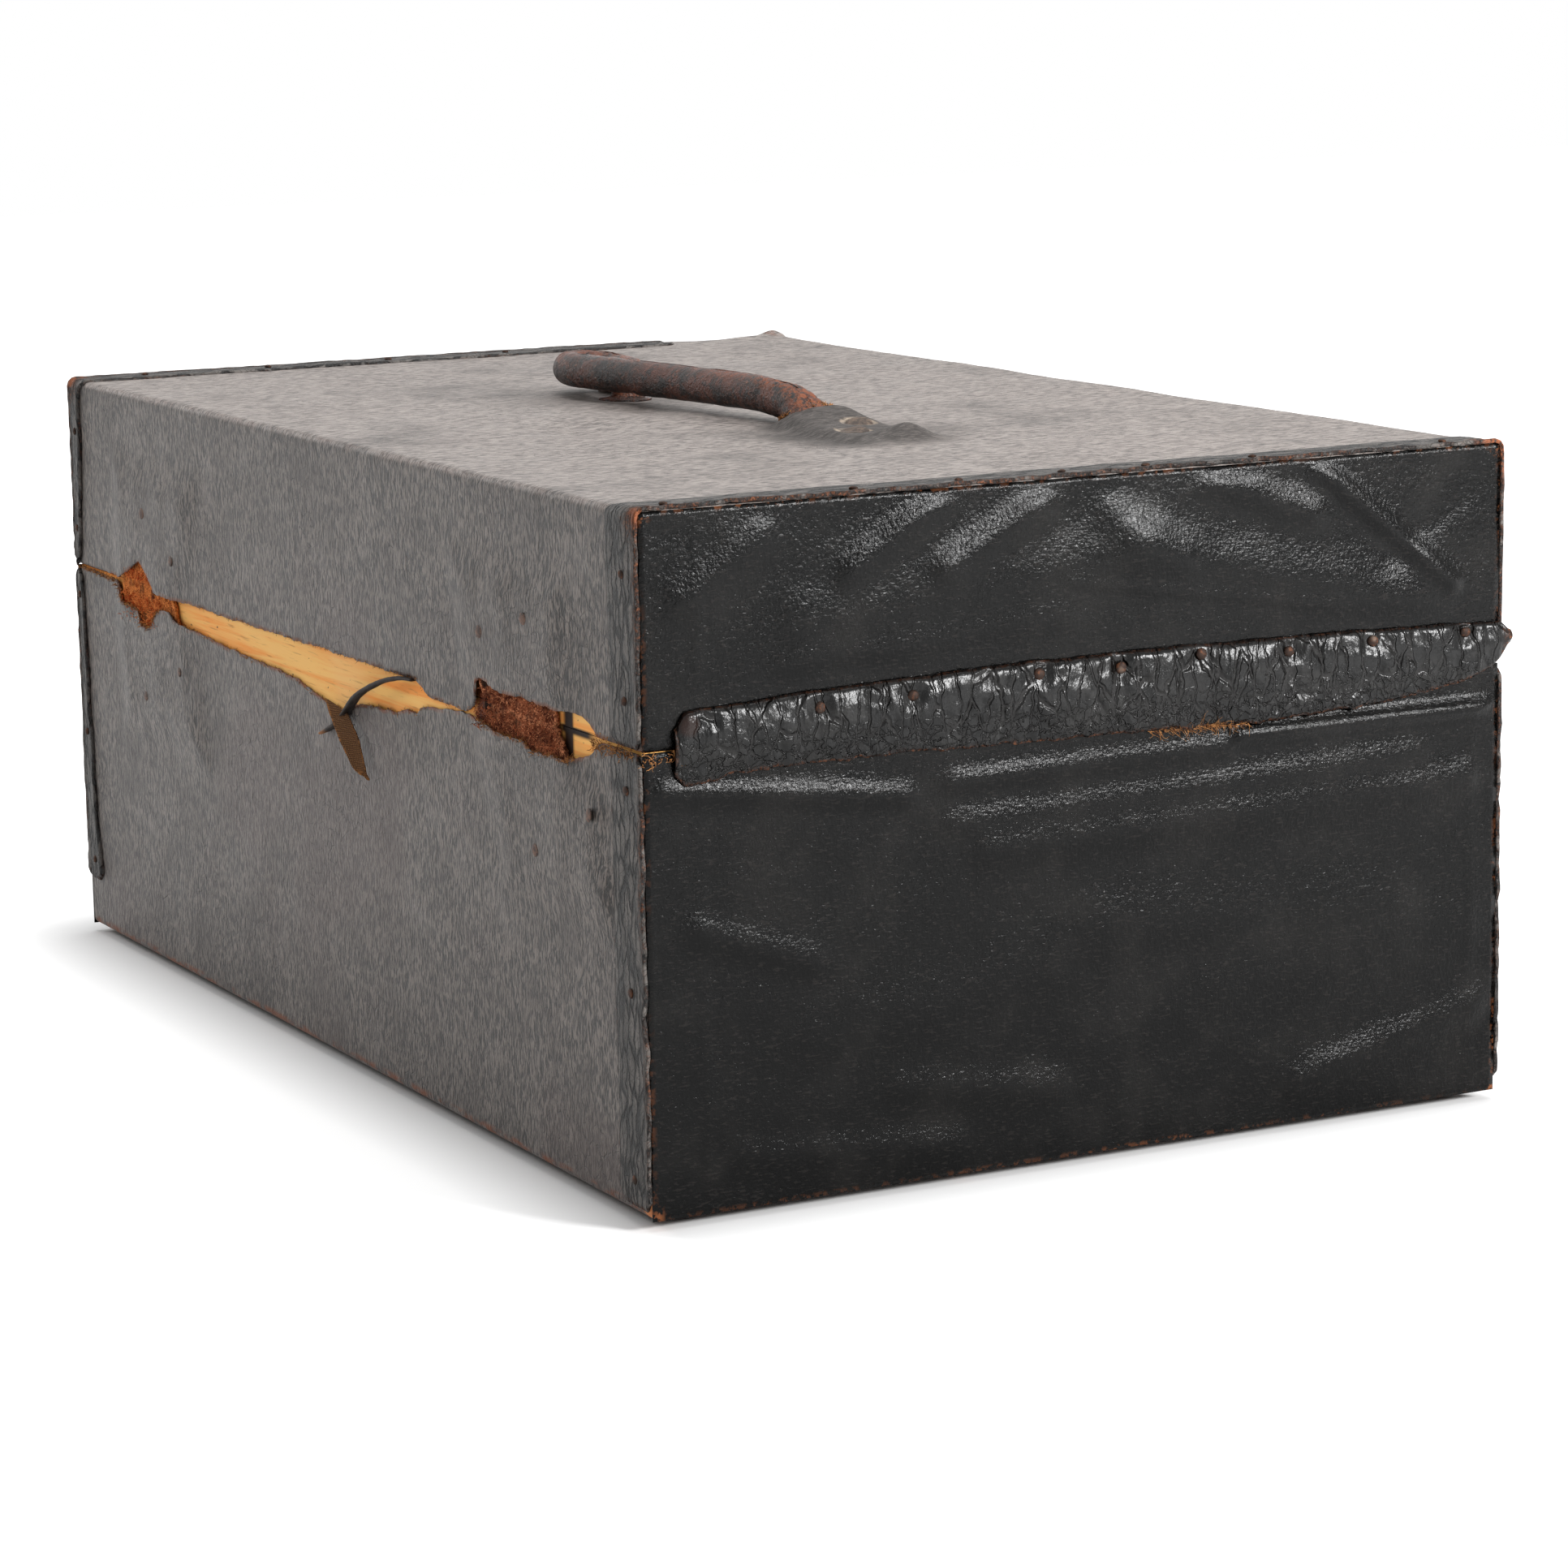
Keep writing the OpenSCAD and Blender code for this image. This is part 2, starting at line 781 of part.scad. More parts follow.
near_top_shares = [0.03, 0.24, 0.36, 0.48, 0.58, 0.71, 0.95];

module lid_binding_tacks() {
    color(iron) {
        for (side = [-1, 1], sy = [-1, 1], share = [0.2, 0.73])
            tack([side * (half_l - bind_w * 0.45), sy * (half_w + bind_t), lid_z + lid_h * share],
                 [0, sy, 0], tack_d, tack_shank_d, tack_l);
        for (share = near_top_shares)
            tack([-half_l + bind_w * 0.3, half_w - edge_r - (case_w - 2 * edge_r) * share, top_z + bind_t],
                 [0, 0, 1], tack_d * 0.8, tack_shank_d, tack_l);
        for (share = [0.1, 0.3, 0.5, 0.7])
            tack([half_l - bind_w * 0.3, half_w - (case_w - far_bind_lost) * share - edge_r, top_z + bind_t],
                 [0, 0, 1], tack_d * 0.8, tack_shank_d, tack_l);
    }
}

module lid_lining() {
    x = board_x - wall_t;
    y = end_board_y;
    color(paper) difference() {
        block([-x, -y, lid_z + lining_inset], [x, y, ceiling_z]);
        block([-x + lining_t, -y + lining_t, lid_z],
              [x - lining_t, y - lining_t, ceiling_z - lining_t]);
        rivet_holes();
    }
}

// Dust flaps: leather strips on the lid that hang over the seam on three sides
module end_flap(side) {
    x0 = side > 0 ? half_l + flap_clear : -half_l - flap_clear - flap_t;
    round_r = 5;
    y1 = half_w - flap_back;
    y0 = -half_w - flap_jut;
    along(x0, x0 + flap_t) {
        translate([y0, seam_z - flap_down]) square([y1 - round_r - y0, flap_up + flap_down]);
        translate([y0, seam_z - flap_down + round_r])
            square([y1 - y0, flap_up + flap_down - 2 * round_r]);
        for (z = [seam_z - flap_down + round_r, seam_z + flap_up - round_r])
            translate([y1 - round_r, z]) circle(round_r);
    }
}

module near_dust_flap() {
    color(gloss_cloth) end_flap(-1);
}

module far_dust_flap() {
    color(gloss_cloth) end_flap(1);
}

module front_dust_flap() {
    y1 = -half_w - flap_clear;
    color(gloss_cloth)
        block([-half_l + bind_w + 1, y1 - flap_t, seam_z - flap_down], [half_l - bind_w - 1, y1, seam_z + flap_up]);
}

flap_tack_shares = [0.17, 0.28, 0.43, 0.53, 0.63, 0.74, 0.85, 0.965];
front_tack_count = 12;

module dust_flap_tacks() {
    z = seam_z + flap_up - 1.2 * tack_d;
    run = case_w - flap_back;
    front_run = case_l - 2 * (bind_w + 1 + flap_tack_inset);
    color(iron) {
        for (side = [-1, 1], share = flap_tack_shares)
            tack([side * (half_l + flap_clear + flap_t), half_w - flap_back - run * share, z],
                 [side, 0, 0], tack_d, tack_shank_d, tack_l);
        for (i = [0:front_tack_count - 1])
            tack([front_run * (i / (front_tack_count - 1) - 0.5), -half_w - flap_clear - flap_t, z],
                 [0, -1, 0], tack_d, tack_shank_d, tack_l);
    }
}

// Rolled leather grip: distance along the case, distance from the flex line towards
// the hinges, and height above the flex line
grip_route = [
    [-65, 0, 0], [-60, 0.5, 0.8], [-50, 2, 1.7], [-25, 5, 1.9], [5, 9, 1.9], [40, 15.5, 2.1],
    [68, 20.5, 2.2], [86, 22.5, 2.2], [99, 19.5, 2], [103.5, 11, 1.6], [98, 3, 0.9],
    [89, 0.4, 0.3], [81, 0, 0]
];

function grip_points(steps) = concat(
    [[near_flex_x + flex_gap, flex_y, axis_z]],
    [for (p = smooth_route(grip_route, steps)) [p.x, flex_y + p.y, axis_z + p.z]],
    [[far_flex_x + flex_gap, flex_y, axis_z]]
);

module grip_sweep(d, sides) {
    route = grip_points(3);
    r = same(d / 2, len(route));
    sweep(route, r, r, sides);
}

module handle_leather() {
    color(brown_leather) difference() {
        grip_sweep(grip_d, 14);
        grip_sweep(core_d + 2 * core_clear, 10);
    }
}

module handle_core() {
    color(paper) grip_sweep(core_d, 10);
}

// Swing hooks on the front of the lid, which catch on studs on the base

pivot_z = lid_z + pivot_up;
stud_z = seam_z - stud_down;
reach = pivot_z - stud_z;
knob_d = pivot_d + 4;
hook_near_y = -half_w - flap_clear - flap_t - tack_head_h - 0.5;

function hook_x(side) = side * (half_l - hook_in);

// A turned knob standing on the front: spigot let into the board, neck and head
module knob(x, z, neck_d) {
    far_y = hook_near_y - hook_t - 2 * hook_play;
    spigot_l = cloth_t + wall_t * 0.5;
    pin([x, spigot_l - half_w, z], [0, -1, 0], knob_d, spigot_l - half_w - hook_near_y);
    pin([x, hook_near_y, z], [0, -1, 0], neck_d, hook_near_y - far_y + eps);
    pin([x, far_y, z], [0, -1, 0], knob_d, knob_head_h);
}

module hook_pivots() {
    color(iron) for (side = [-1, 1]) knob(hook_x(side), pivot_z, pivot_d);
}

module catch_studs() {
    color(iron) for (side = [-1, 1]) knob(hook_x(side), stud_z, stud_d);
}

// A flat hook, swung aside at rest. Its notch is an arc round the pivot, open on the
// edge that leads as it swings down
module hook(side) {
    x = hook_x(side);
    y1 = hook_near_y - hook_play;
    slot = stud_d / 2 + stud_clear;
    nose = reach + slot + 6;
    color(iron) translate([x, y1, pivot_z]) mirror([side > 0 ? 1 : 0, 0, 0]) difference() {
        union() {
            pin([0, 0, 0], [0, -1, 0], hook_w + 3, hook_t);
            block([0, -hook_t, -hook_w / 2], [nose - hook_w / 2, 0, hook_w / 2]);
            pin([nose - hook_w / 2, 0, 0], [0, -1, 0], hook_w, hook_t);
        }
        pin([0, 1, 0], [0, -1, 0], pivot_d + 2 * pivot_clear, hook_t + 2);
        intersection() {
            difference() {
                pin([0, 1, 0], [0, -1, 0], 2 * (reach + slot), hook_t + 2);
                pin([0, 2, 0], [0, -1, 0], 2 * (reach - slot), hook_t + 4);
            }
            block([reach / 2, -hook_t - 1, -hook_w], [2 * reach, 1, 0]);
        }
        pin([reach, 1, 0], [0, -1, 0], 2 * slot, hook_t + 2);
    }
}

module left_hook() {
    hook(-1);
}

module right_hook() {
    hook(1);
}

base_front_board();
base_back_board();
base_near_end_board();
base_far_end_board();
base_bottom_board();
base_joint_nails();
base_covering();
base_near_end_panel();
base_far_end_panel();
base_near_binding();
base_far_binding();
base_binding_tacks();
base_hinge_straps();
base_hinge_nails();
base_lining();
corner_feet();
catch_studs();
torn_tape();
torn_welt();
lid_front_board();
lid_back_board();
lid_near_end_board();
lid_far_end_board();
lid_top_board();
lid_joint_nails();
lid_covering();
lid_near_end_panel();
lid_far_end_panel();
lid_near_binding();
lid_far_binding();
lid_binding_tacks();
lid_hinge_straps();
lid_hinge_nails();
lid_lining();
near_dust_flap();
far_dust_flap();
front_dust_flap();
dust_flap_tacks();
near_handle_tab();
far_handle_tab();
far_handle_collar();
handle_rivets();
handle_rivet_roves();
hook_pivots();
handle_leather();
handle_core();
left_hook();
right_hook();
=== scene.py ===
"""A worn travel case: boards under leathercloth, leather bindings and flaps, a slumped handle."""
import math
import random

import bmesh
import bpy
from mathutils import Matrix, Vector, noise


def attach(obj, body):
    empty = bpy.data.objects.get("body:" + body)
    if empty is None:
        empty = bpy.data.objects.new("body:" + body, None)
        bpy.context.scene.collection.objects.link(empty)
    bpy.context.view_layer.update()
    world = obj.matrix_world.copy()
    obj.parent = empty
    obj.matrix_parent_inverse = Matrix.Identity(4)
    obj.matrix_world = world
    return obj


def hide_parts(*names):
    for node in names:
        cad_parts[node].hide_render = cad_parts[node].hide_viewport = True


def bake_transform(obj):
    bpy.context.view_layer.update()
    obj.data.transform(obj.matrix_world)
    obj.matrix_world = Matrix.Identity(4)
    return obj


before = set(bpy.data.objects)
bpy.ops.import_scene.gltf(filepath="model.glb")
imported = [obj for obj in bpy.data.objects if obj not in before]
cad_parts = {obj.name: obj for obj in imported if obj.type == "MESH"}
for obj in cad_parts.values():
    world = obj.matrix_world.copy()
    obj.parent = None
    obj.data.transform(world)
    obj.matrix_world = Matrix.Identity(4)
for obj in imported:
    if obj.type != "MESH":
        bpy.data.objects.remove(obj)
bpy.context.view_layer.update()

# Boards of the base and the lid: planed softwood, nailed together and gone amber with age.
# The hinge-side boards show in the tear, with long grain, pores, nail-rust specks and brown
# stains under the straps' patches, where the old glue soaked in. The gaps beside the straps
# and the seam at the near end are painted near-black, a painted shade.


class Tone:
    """A number, colour or place in a node tree. Sums written with it add their nodes."""

    def __init__(self, nodes, socket):
        self.nodes, self.socket = nodes, socket

    def reckon(self, operation, *values):
        return self.nodes.node("Math", {"operation": operation}, dict(enumerate(values)))

    def __add__(self, other):
        return self.reckon("ADD", self, other)

    def __sub__(self, other):
        return self.reckon("SUBTRACT", self, other)

    def __rsub__(self, other):
        return self.reckon("SUBTRACT", other, self)

    def __mul__(self, other):
        return self.reckon("MULTIPLY", self, other)

    __radd__, __rmul__ = __add__, __mul__

    def most(self, other):
        return self.reckon("MAXIMUM", self, other)

    def past(self, low, high):
        """0 before low, 1 after high, with a smooth change between. High may be the lower."""
        return self.nodes.node("MapRange", {"interpolation_type": "SMOOTHSTEP"},
                               {"Value": self, "From Min": low, "From Max": high})

    def within(self, start, full, last, end):
        """1 from full to last, falling to 0 at start and at end."""
        return self.past(start, full) * self.past(end, last)


class Nodes:
    """The node tree of a material or of the world."""

    def __init__(self, tree):
        self.tree = tree

    def node(self, kind, settings={}, inputs={}, out=0):
        """Adds a node: its type, then its settings, then what goes into its sockets."""
        made = self.tree.nodes.new("ShaderNode" + kind)
        for key, value in settings.items():
            setattr(made, key, value)
        for key, value in inputs.items():
            if isinstance(value, Tone):
                self.tree.links.new(value.socket, made.inputs[key])
            else:
                made.inputs[key].default_value = value
        return Tone(self, made.outputs[out])

    def feed(self, tone, shader, socket):
        self.tree.links.new(tone.socket, shader.inputs[socket])


class Finish(Nodes):
    """A finish: one material, whose named sockets hold what is the same all over."""

    def __init__(self, name, **constant):
        self.material = bpy.data.materials.new(name)
        self.material.use_nodes = True
        super().__init__(self.material.node_tree)
        self.shader = self.tree.nodes["Principled BSDF"]
        for socket, value in constant.items():
            self.shader.inputs[socket.replace("_", " ")].default_value = value
        self.place = self.node("TexCoord", out="Object")

    def axis(self, letter):
        """How far along X, Y or Z of the case, in millimetres."""
        return self.node("SeparateXYZ", {}, {"Vector": self.place}, letter) * 1000

    def worn(self):
        """The wear that is stored in the piece's mesh, from 0 to 1."""
        return self.node("Attribute", {"attribute_name": "worn"}, out="Fac")

    def drawn_out(self, stretch, at=None):
        return self.node("VectorMath", {"operation": "DIVIDE"}, {0: at or self.place, 1: stretch})

    def cloud(self, size, detail=2, rough=0.5, stretch=(1, 1, 1), twist=0, at=None):
        """Cloudy noise about 0.5, with lumps of that size in millimetres, drawn out by stretch."""
        return self.node("TexNoise", {}, {
            "Vector": self.drawn_out(stretch, at), "Scale": 1000 / size, "Detail": detail,
            "Roughness": rough, "Distortion": twist})

    def crackle(self, size, stretch=(1, 1, 1), at=None):
        """A net of cracks in cells of that size in millimetres: 0 in a crack, more away from it."""
        return self.node("TexVoronoi", {"feature": "DISTANCE_TO_EDGE"}, {
            "Vector": self.drawn_out(stretch, at), "Scale": 1000 / size})

    def wander(self, amount, size):
        """The place on the piece, shifted by that many millimetres, to break straight lines."""
        shift = self.node("TexNoise", {}, {"Vector": self.place, "Scale": 1000 / size, "Detail": 3},
                          "Color")
        centred = self.node("VectorMath", {"operation": "SUBTRACT"}, {0: shift, 1: (0.5, 0.5, 0.5)})
        grown = self.node("VectorMath", {"operation": "SCALE"}, {0: centred, "Scale": amount / 500})
        return self.node("VectorMath", {"operation": "ADD"}, {0: self.place, 1: grown})

    def spot(self, point, inner, outer):
        """1 within inner millimetres of a point of the case, and 0 beyond outer."""
        away = self.node("VectorMath", {"operation": "DISTANCE"},
                         {0: self.place, 1: [c / 1000 for c in point]}, "Value")
        return away.past(outer / 1000, inner / 1000)

    def over(self, under, *laid):
        """Colours laid over one another in turn, each as thick as its share says."""
        for upper, share in laid:
            under = self.node("Mix", {"data_type": "RGBA"}, {0: share, 6: under, 7: upper}, 2)
        return under

    def dress(self, colour, roughness, relief=None, depth=0.1):
        """Feeds the shader: colour, roughness, and a relief of that depth in millimetres."""
        self.feed(colour, self.shader, "Base Color")
        self.feed(roughness, self.shader, "Roughness")
        if relief:
            self.feed(self.node("Bump", {}, {"Height": relief, "Distance": depth / 1000, "Strength": 1}),
                      self.shader, "Normal")


def paint(red, green, blue):
    """A colour as it looks, from 0 to 255, as the linear values that a shader takes."""
    return [(c / 255 / 12.92 if c < 10.3 else ((c / 255 + 0.055) / 1.055) ** 2.4)
            for c in (red, green, blue)] + [1]


def coat(finish, *names):
    """Gives carried-over pieces of the frame their finish."""
    for name in names:
        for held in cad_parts[name].material_slots:
            held.material = finish.material


softwood = Finish("softwood", Specular_IOR_Level=0.1)
streaks = softwood.cloud(5, 4, 0.6, (22, 1, 1), 0.6)
pores = softwood.cloud(0.9, 2, 0.5, (16, 1, 1))
run, up = softwood.axis("X"), softwood.axis("Z")
hinge_side = softwood.axis("Y").past(184, 185)
by_the_tear = hinge_side * up.within(150, 158, 188, 196)
# Painted shade: the gaps by the straps' edges and the near end of the seam are painted near-black.
shade_beside_straps = run.within(-245.5, -243, -238, -234).most(run.within(173, 176, 184, 190))
under_patches = run.within(-234, -228, -160, -150).most(run.within(180, 190, 238, 246))
seam_shade = run.within(-266, -256, -236, -230) * up.within(175.2, 176.8, 178.4, 179.4)
bare = softwood.over(
    paint(250, 156, 72), (paint(255, 199, 116), streaks.past(0.3, 0.62)),
    (paint(255, 200, 128), softwood.cloud(60, 1).past(0.5, 0.75) * 0.5),
    (paint(176, 112, 58), pores.past(0.6, 0.74) * 0.5),
    (paint(96, 58, 34), softwood.cloud(3.2, 1, 0.5, (1.6, 1, 1)).past(0.76, 0.8)),
    (paint(30, 17, 11), shade_beside_straps * by_the_tear), (paint(24, 14, 10), seam_shade * hinge_side),
    (paint(84, 40, 22), under_patches * by_the_tear))
softwood.dress(bare, 0.62 - streaks * 0.14, streaks * 0.6 + pores * 0.4, 0.12)
coat(softwood, *(side + "_" + board + "_board" for side in ("base", "lid")
                 for board in ("front", "back", "near_end", "far_end")),
     "base_bottom_board", "lid_top_board")

# Wire nails through the boards, and the four domed feet on spikes: dark oxidised iron,
# rubbed a little brighter where it stands proud.
iron = Finish("iron", Metallic=0.75, Specular_IOR_Level=0.4)
rust = iron.cloud(1.6, 3, 0.65)
iron.dress(iron.over(paint(44, 33, 28), (paint(98, 62, 42), rust.past(0.45, 0.75)),
                     (paint(120, 104, 92), iron.cloud(5, 1).past(0.6, 0.8) * 0.4)),
           0.5 + rust * 0.25, rust, 0.12)
coat(iron, "base_joint_nails", "lid_joint_nails", "corner_feet")

# Paper lining inside base and lid: buff paper pasted on the boards, foxed and stained
# where the glue came through, with faint laid lines.
paper = Finish("lining paper", Specular_IOR_Level=0.2)
fibre = paper.cloud(1.2, 3, 0.6)
laid_lines = paper.cloud(1, 1, 0.5, (40, 1, 1))
paper.dress(paper.over(paint(196, 178, 146), (paint(168, 142, 104), paper.cloud(70, 4, 0.6).past(0.4, 0.75)),
                       (paint(132, 92, 56), paper.cloud(7, 2).past(0.72, 0.8) * 0.7),
                       (paint(210, 196, 168), fibre.past(0.5, 0.8) * 0.4)),
            0.8 + fibre * 0.12, fibre * 0.5 + laid_lines * 0.5, 0.08)
coat(paper, "base_lining", "lid_lining")

# Strap hinges: two wide straps of vegetable-tanned leather that cross the seam under the
# covering; on the case the leather itself bends, and here each strap is one fixed piece. The leather
# has gone to red rot: it is powdery and fibrous where the covering has torn off them, with three
# small holes in the near one.


def soft(low, high, value):
    """0 before low, 1 after high, with a smooth change between."""
    share = min(max((value - low) / (high - low), 0), 1)
    return share * share * (3 - 2 * share)


def lumps(x, y, z, size, kind=0):
    """Smooth swelling between -1 and 1, with lumps of that size in millimetres."""
    return noise.noise(Vector((x, y, z)) / size + Vector((kind * 7.3, kind * 3.1, kind * 5.7)))


def along(table, value):
    """Reads a table of (place, height) between its entries."""
    if value <= table[0][0]:
        return table[0][1]
    for (x0, y0), (x1, y1) in zip(table, table[1:]):
        if value <= x1:
            return y0 + (y1 - y0) * (value - x0) / (x1 - x0)
    return table[-1][1]


def spread(columns, rows, place, heart=(0, 0, 130)):
    """A grid laid where place(u, v) says, in millimetres, with its wear. It faces out from heart."""
    shape = bmesh.new()
    bmesh.ops.create_grid(shape, x_segments=columns, y_segments=rows, size=0.5)
    worn = shape.verts.layers.float.new("worn")
    for corner in shape.verts:
        x, y, z, rubbed = place(corner.co.x + 0.5, corner.co.y + 0.5)
        corner.co = Vector((x, y, z)) / 1000
        corner[worn] = rubbed
    shape.normal_update()
    centre = Vector(heart) / 1000
    if sum(face.normal.dot(face.calc_center_median() - centre) for face in shape.faces) < 0:
        bmesh.ops.reverse_faces(shape, faces=shape.faces)
    return shape


def thicken(made, depth, rim_only=False):
    """Gives a laid piece its thickness inwards, or only the turned-in rim of a glued one."""
    shell = made.modifiers.new("thickness", "SOLIDIFY")
    shell.thickness, shell.offset, shell.use_rim_only = depth / 1000, -1, rim_only
    return made


def settle(made):
    """Makes a piece's modifiers part of its mesh."""
    bpy.context.view_layer.update()
    seen = made.evaluated_get(bpy.context.evaluated_depsgraph_get())
    plain = made.data
    made.data = bpy.data.meshes.new_from_object(seen)
    made.modifiers.clear()
    bpy.data.meshes.remove(plain)


def finished(name, shape, finish, body=None, replaced=()):
    """A piece from its bmesh: its finish, slot, the body that it rides on, what it stands for."""
    data = bpy.data.meshes.new(name)
    shape.to_mesh(data)
    shape.free()
    data.materials.append(finish.material)
    data.shade_smooth()
    made = bpy.data.objects.new(name, data)
    bpy.context.scene.collection.objects.link(made)
    if body:
        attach(made, body)
    if replaced:
        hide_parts(*replaced)
    return made


red_rot = Finish("powdering strap leather", Specular_IOR_Level=0.1)
matted = red_rot.cloud(1.7, 4, 0.7, (1, 1, 1), 1.5)
fresh = red_rot.over(paint(140, 50, 18), (paint(240, 146, 72), matted.past(0.36, 0.6)))
rotten = red_rot.over(paint(94, 42, 26), (paint(240, 158, 112), matted.past(0.4, 0.6)),
                      (fresh, red_rot.axis("X").past(0, 40) * 0.9),
                      (paint(34, 18, 12), red_rot.cloud(9, 3, 0.6).past(0.5, 0.34) * 0.7))
# The holes are painted as near-black spots: a painted shade of their depth.
for hole, reach in (((-170, 190, 186.1), 2.6), ((-172, 190, 178.4), 3.4), ((-165, 190, 173), 2.2)):
    rotten = red_rot.over(rotten, (paint(10, 6, 5), red_rot.spot(hole, reach * 0.7, reach * 1.5) * 0.95))
red_rot.dress(rotten, 0.85 + matted * 0.1, matted, 0.9)

# The outer faces of the covering, how far the straps reach over and under the seam, and
# where the middle of each lies at the seam, at its top and at its foot
seam, half_length, half_width, lid_top = 178, 305, 188, 265
strap_up, strap_down = 44, 58
straps = {"far": (207, 196, 194), "near": (-201, -190, -232)}


def strap_shape(strap, rise):
    """The middle and the half width of a hinge strap, at a height over the seam."""
    at_seam, at_top, at_foot = straps[strap]
    end, share = (at_top, rise / strap_up) if rise > 0 else (at_foot, -rise / strap_down)
    return at_seam + (end - at_seam) * min(share, 1), 33 + 6 * min(abs(rise) / 22, 1)


def over_strap(x, z, strap):
    """How far inside the outline of a hinge strap a point of the hinge side is."""
    rise = z - seam
    middle, half = strap_shape(strap, rise)
    return min(half - abs(x - middle), strap_up - rise if rise > 0 else strap_down + rise)


def place_strap(strap):
    def place(u, v):
        rise = (strap_up + strap_down) * v - strap_down
        middle, half = strap_shape(strap, rise)
        x, z = middle + (half - 0.5) * (2 * u - 1), seam + rise
        fuzz = 0.5 * lumps(x, 0, z, 2.6) + 0.5 * lumps(x, 0, z, 6, 1)
        return x, 189.3 + 1.1 * fuzz + 0.5 * lumps(x, 0, z, 1.6, 2), z, 0
    return place


for strap, (at_seam, _, _) in straps.items():
    made = finished(strap + "_hinge_strap", spread(92, 130, place_strap(strap)), red_rot)
    settle(thicken(made, 1.6))
    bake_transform(made)
    if strap == "far":
        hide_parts("base_hinge_straps", "lid_hinge_straps")

# Leathercloth over the long sides, top and underside: cotton cloth coated to imitate
# leather, glued down and matte warm grey with age, with a fine crinkle that runs up the
# sides and across the top, painted dark in its grooves and light on its ridges as a painted
# shade and highlight. Patches of the top are painted paler, a painted sheen. It swells over the
# hinge straps, dips at their nails, is worn brown on its edges, painted dark round the handle
# and over the tab's mound for their shade, and pale in a ring round each near rivet.
grey_cloth = Finish("grey leathercloth", Specular_IOR_Level=0.42)
crinkle_relief_and_shade = grey_cloth.cloud(0.85, 1, 0.5, (1, 5, 5), 0.3, grey_cloth.wander(1.8, 8))
weave = grey_cloth.cloud(0.6, 1, 0.5, (1, 2, 2))
mottle = grey_cloth.cloud(38, 3, 0.6)
cracks = grey_cloth.crackle(7, (1, 1.3, 1.3), grey_cloth.wander(6, 12))
crazing = cracks.past(0.03, 0.008) * grey_cloth.cloud(60, 1).past(0.52, 0.64)
height = grey_cloth.axis("Z")
# Painted sheen: patches of the top are painted paler, for the light that grazes it.
sheen_on_top = height.past(262.5, 264.5) * grey_cloth.cloud(60, 2).past(0.1, 0.5)
grain = grey_cloth.cloud(2, 3, 0.6, (1, 2.8, 1), 0.4)
pale = grey_cloth.over(paint(82, 75, 71),
                       (paint(160, 150, 144), (crinkle_relief_and_shade * 0.35 + grain * 0.65).past(0.36, 0.6)))
# Painted shade: darker round the handle, for its shadow and the shade of the steep cloth over the tab.
shade_round_handle = (grey_cloth.spot((-120, 0, 268), 20, 62) * 0.5).most(grey_cloth.spot((62, 20, 265), 14, 76) * 0.5)
for at_x, at_y, inner, outer in ((-152, -2, 12, 34), (-132, 6, 14, 36), (-112, 4, 15, 36),
                                 (-98, 4, 18, 34), (-126, 20, 12, 34), (-150, 18, 8, 35)):
    shade_round_handle = shade_round_handle.most(grey_cloth.spot((at_x, at_y, 269), inner, outer) * 0.94)
shade_round_handle = shade_round_handle * height.past(262, 264) * (grain.past(0.34, 0.62) * 0.36 + 0.64)
rings = sum(grey_cloth.spot(rivet, 7.4, 8.8) * (1 - grey_cloth.spot(rivet, 5.6, 6.4))
            for rivet in ((-116, -5, 268), (-137, 9, 267.4)))
scuffs = grey_cloth.cloud(5, 3, 0.65, (2.5, 1, 1))
brown_feet = height.past(11, 5) * grey_cloth.cloud(22, 2).past(0.66, 0.74)
rubbed = (grey_cloth.worn() * scuffs.past(0.42, 0.62)).most(brown_feet)
# The crinkle is painted near-black in its grooves and light on its ridges: painted shade and highlights of
# its relief.
cloth = grey_cloth.over(
    paint(26, 22, 19), (paint(110, 101, 95), (crinkle_relief_and_shade * 0.82 + weave * 0.18).past(0.44, 0.57)),
    (paint(58, 52, 49), mottle.past(0.46, 0.7) * 0.55),
    (paint(118, 111, 107), mottle.past(0.45, 0.25) * 0.35),
    (paint(82, 68, 64), grey_cloth.cloud(120, 2, 0.5).past(0.5, 0.68) * 0.4),
    (paint(40, 36, 34), crazing * 0.5), (pale, sheen_on_top * 0.85), (paint(36, 32, 30), shade_round_handle),
    (paint(176, 160, 142), rings * grain.past(0.3, 0.5) * 0.65), (paint(122, 70, 42), rubbed),
    (paint(188, 116, 66), grey_cloth.spot((-304, 188, 5), 3, 10) * scuffs.past(0.36, 0.5)))
grey_cloth.dress(cloth, 0.44 + mottle * 0.12 - crinkle_relief_and_shade * 0.08 + rubbed * 0.2 + shade_round_handle * 0.35,
                 crinkle_relief_and_shade * 0.75 + weave * 0.25 - crazing * 0.4, 1.1)

# The torn edges on the hinge side, from the near end to the far one: (X, Z)
torn_edge = [(-305, 176.6), (-290, 176.6), (-270, 177), (-266, 175.6), (-262, 171.4), (-252, 168.8),
             (-244, 166.7), (-229, 166.5), (-215, 165.5), (-208, 168.7), (-189, 168.3), (-178, 169),
             (-167, 170.9), (-148, 170.3), (-136, 169.8), (-120, 168.7), (-103, 166.8), (-100, 163.3),
             (-89, 163.5), (-79, 160.8), (-62, 160.1), (-45, 159.6), (-36, 157.7), (-20, 153.8),
             (0, 155.6), (9, 156.7), (30, 159.9), (51, 161.4), (66, 161.4), (95, 162.2), (126, 163.9),
             (154, 164.9), (171, 167.5), (177, 170.5), (187, 169.8), (195, 165.4), (200, 160.4),
             (212, 160.6), (217, 167), (232, 167.8), (239, 169.4), (243, 175.4), (251, 176.6),
             (274, 177), (290, 177.2), (305, 177.4)]
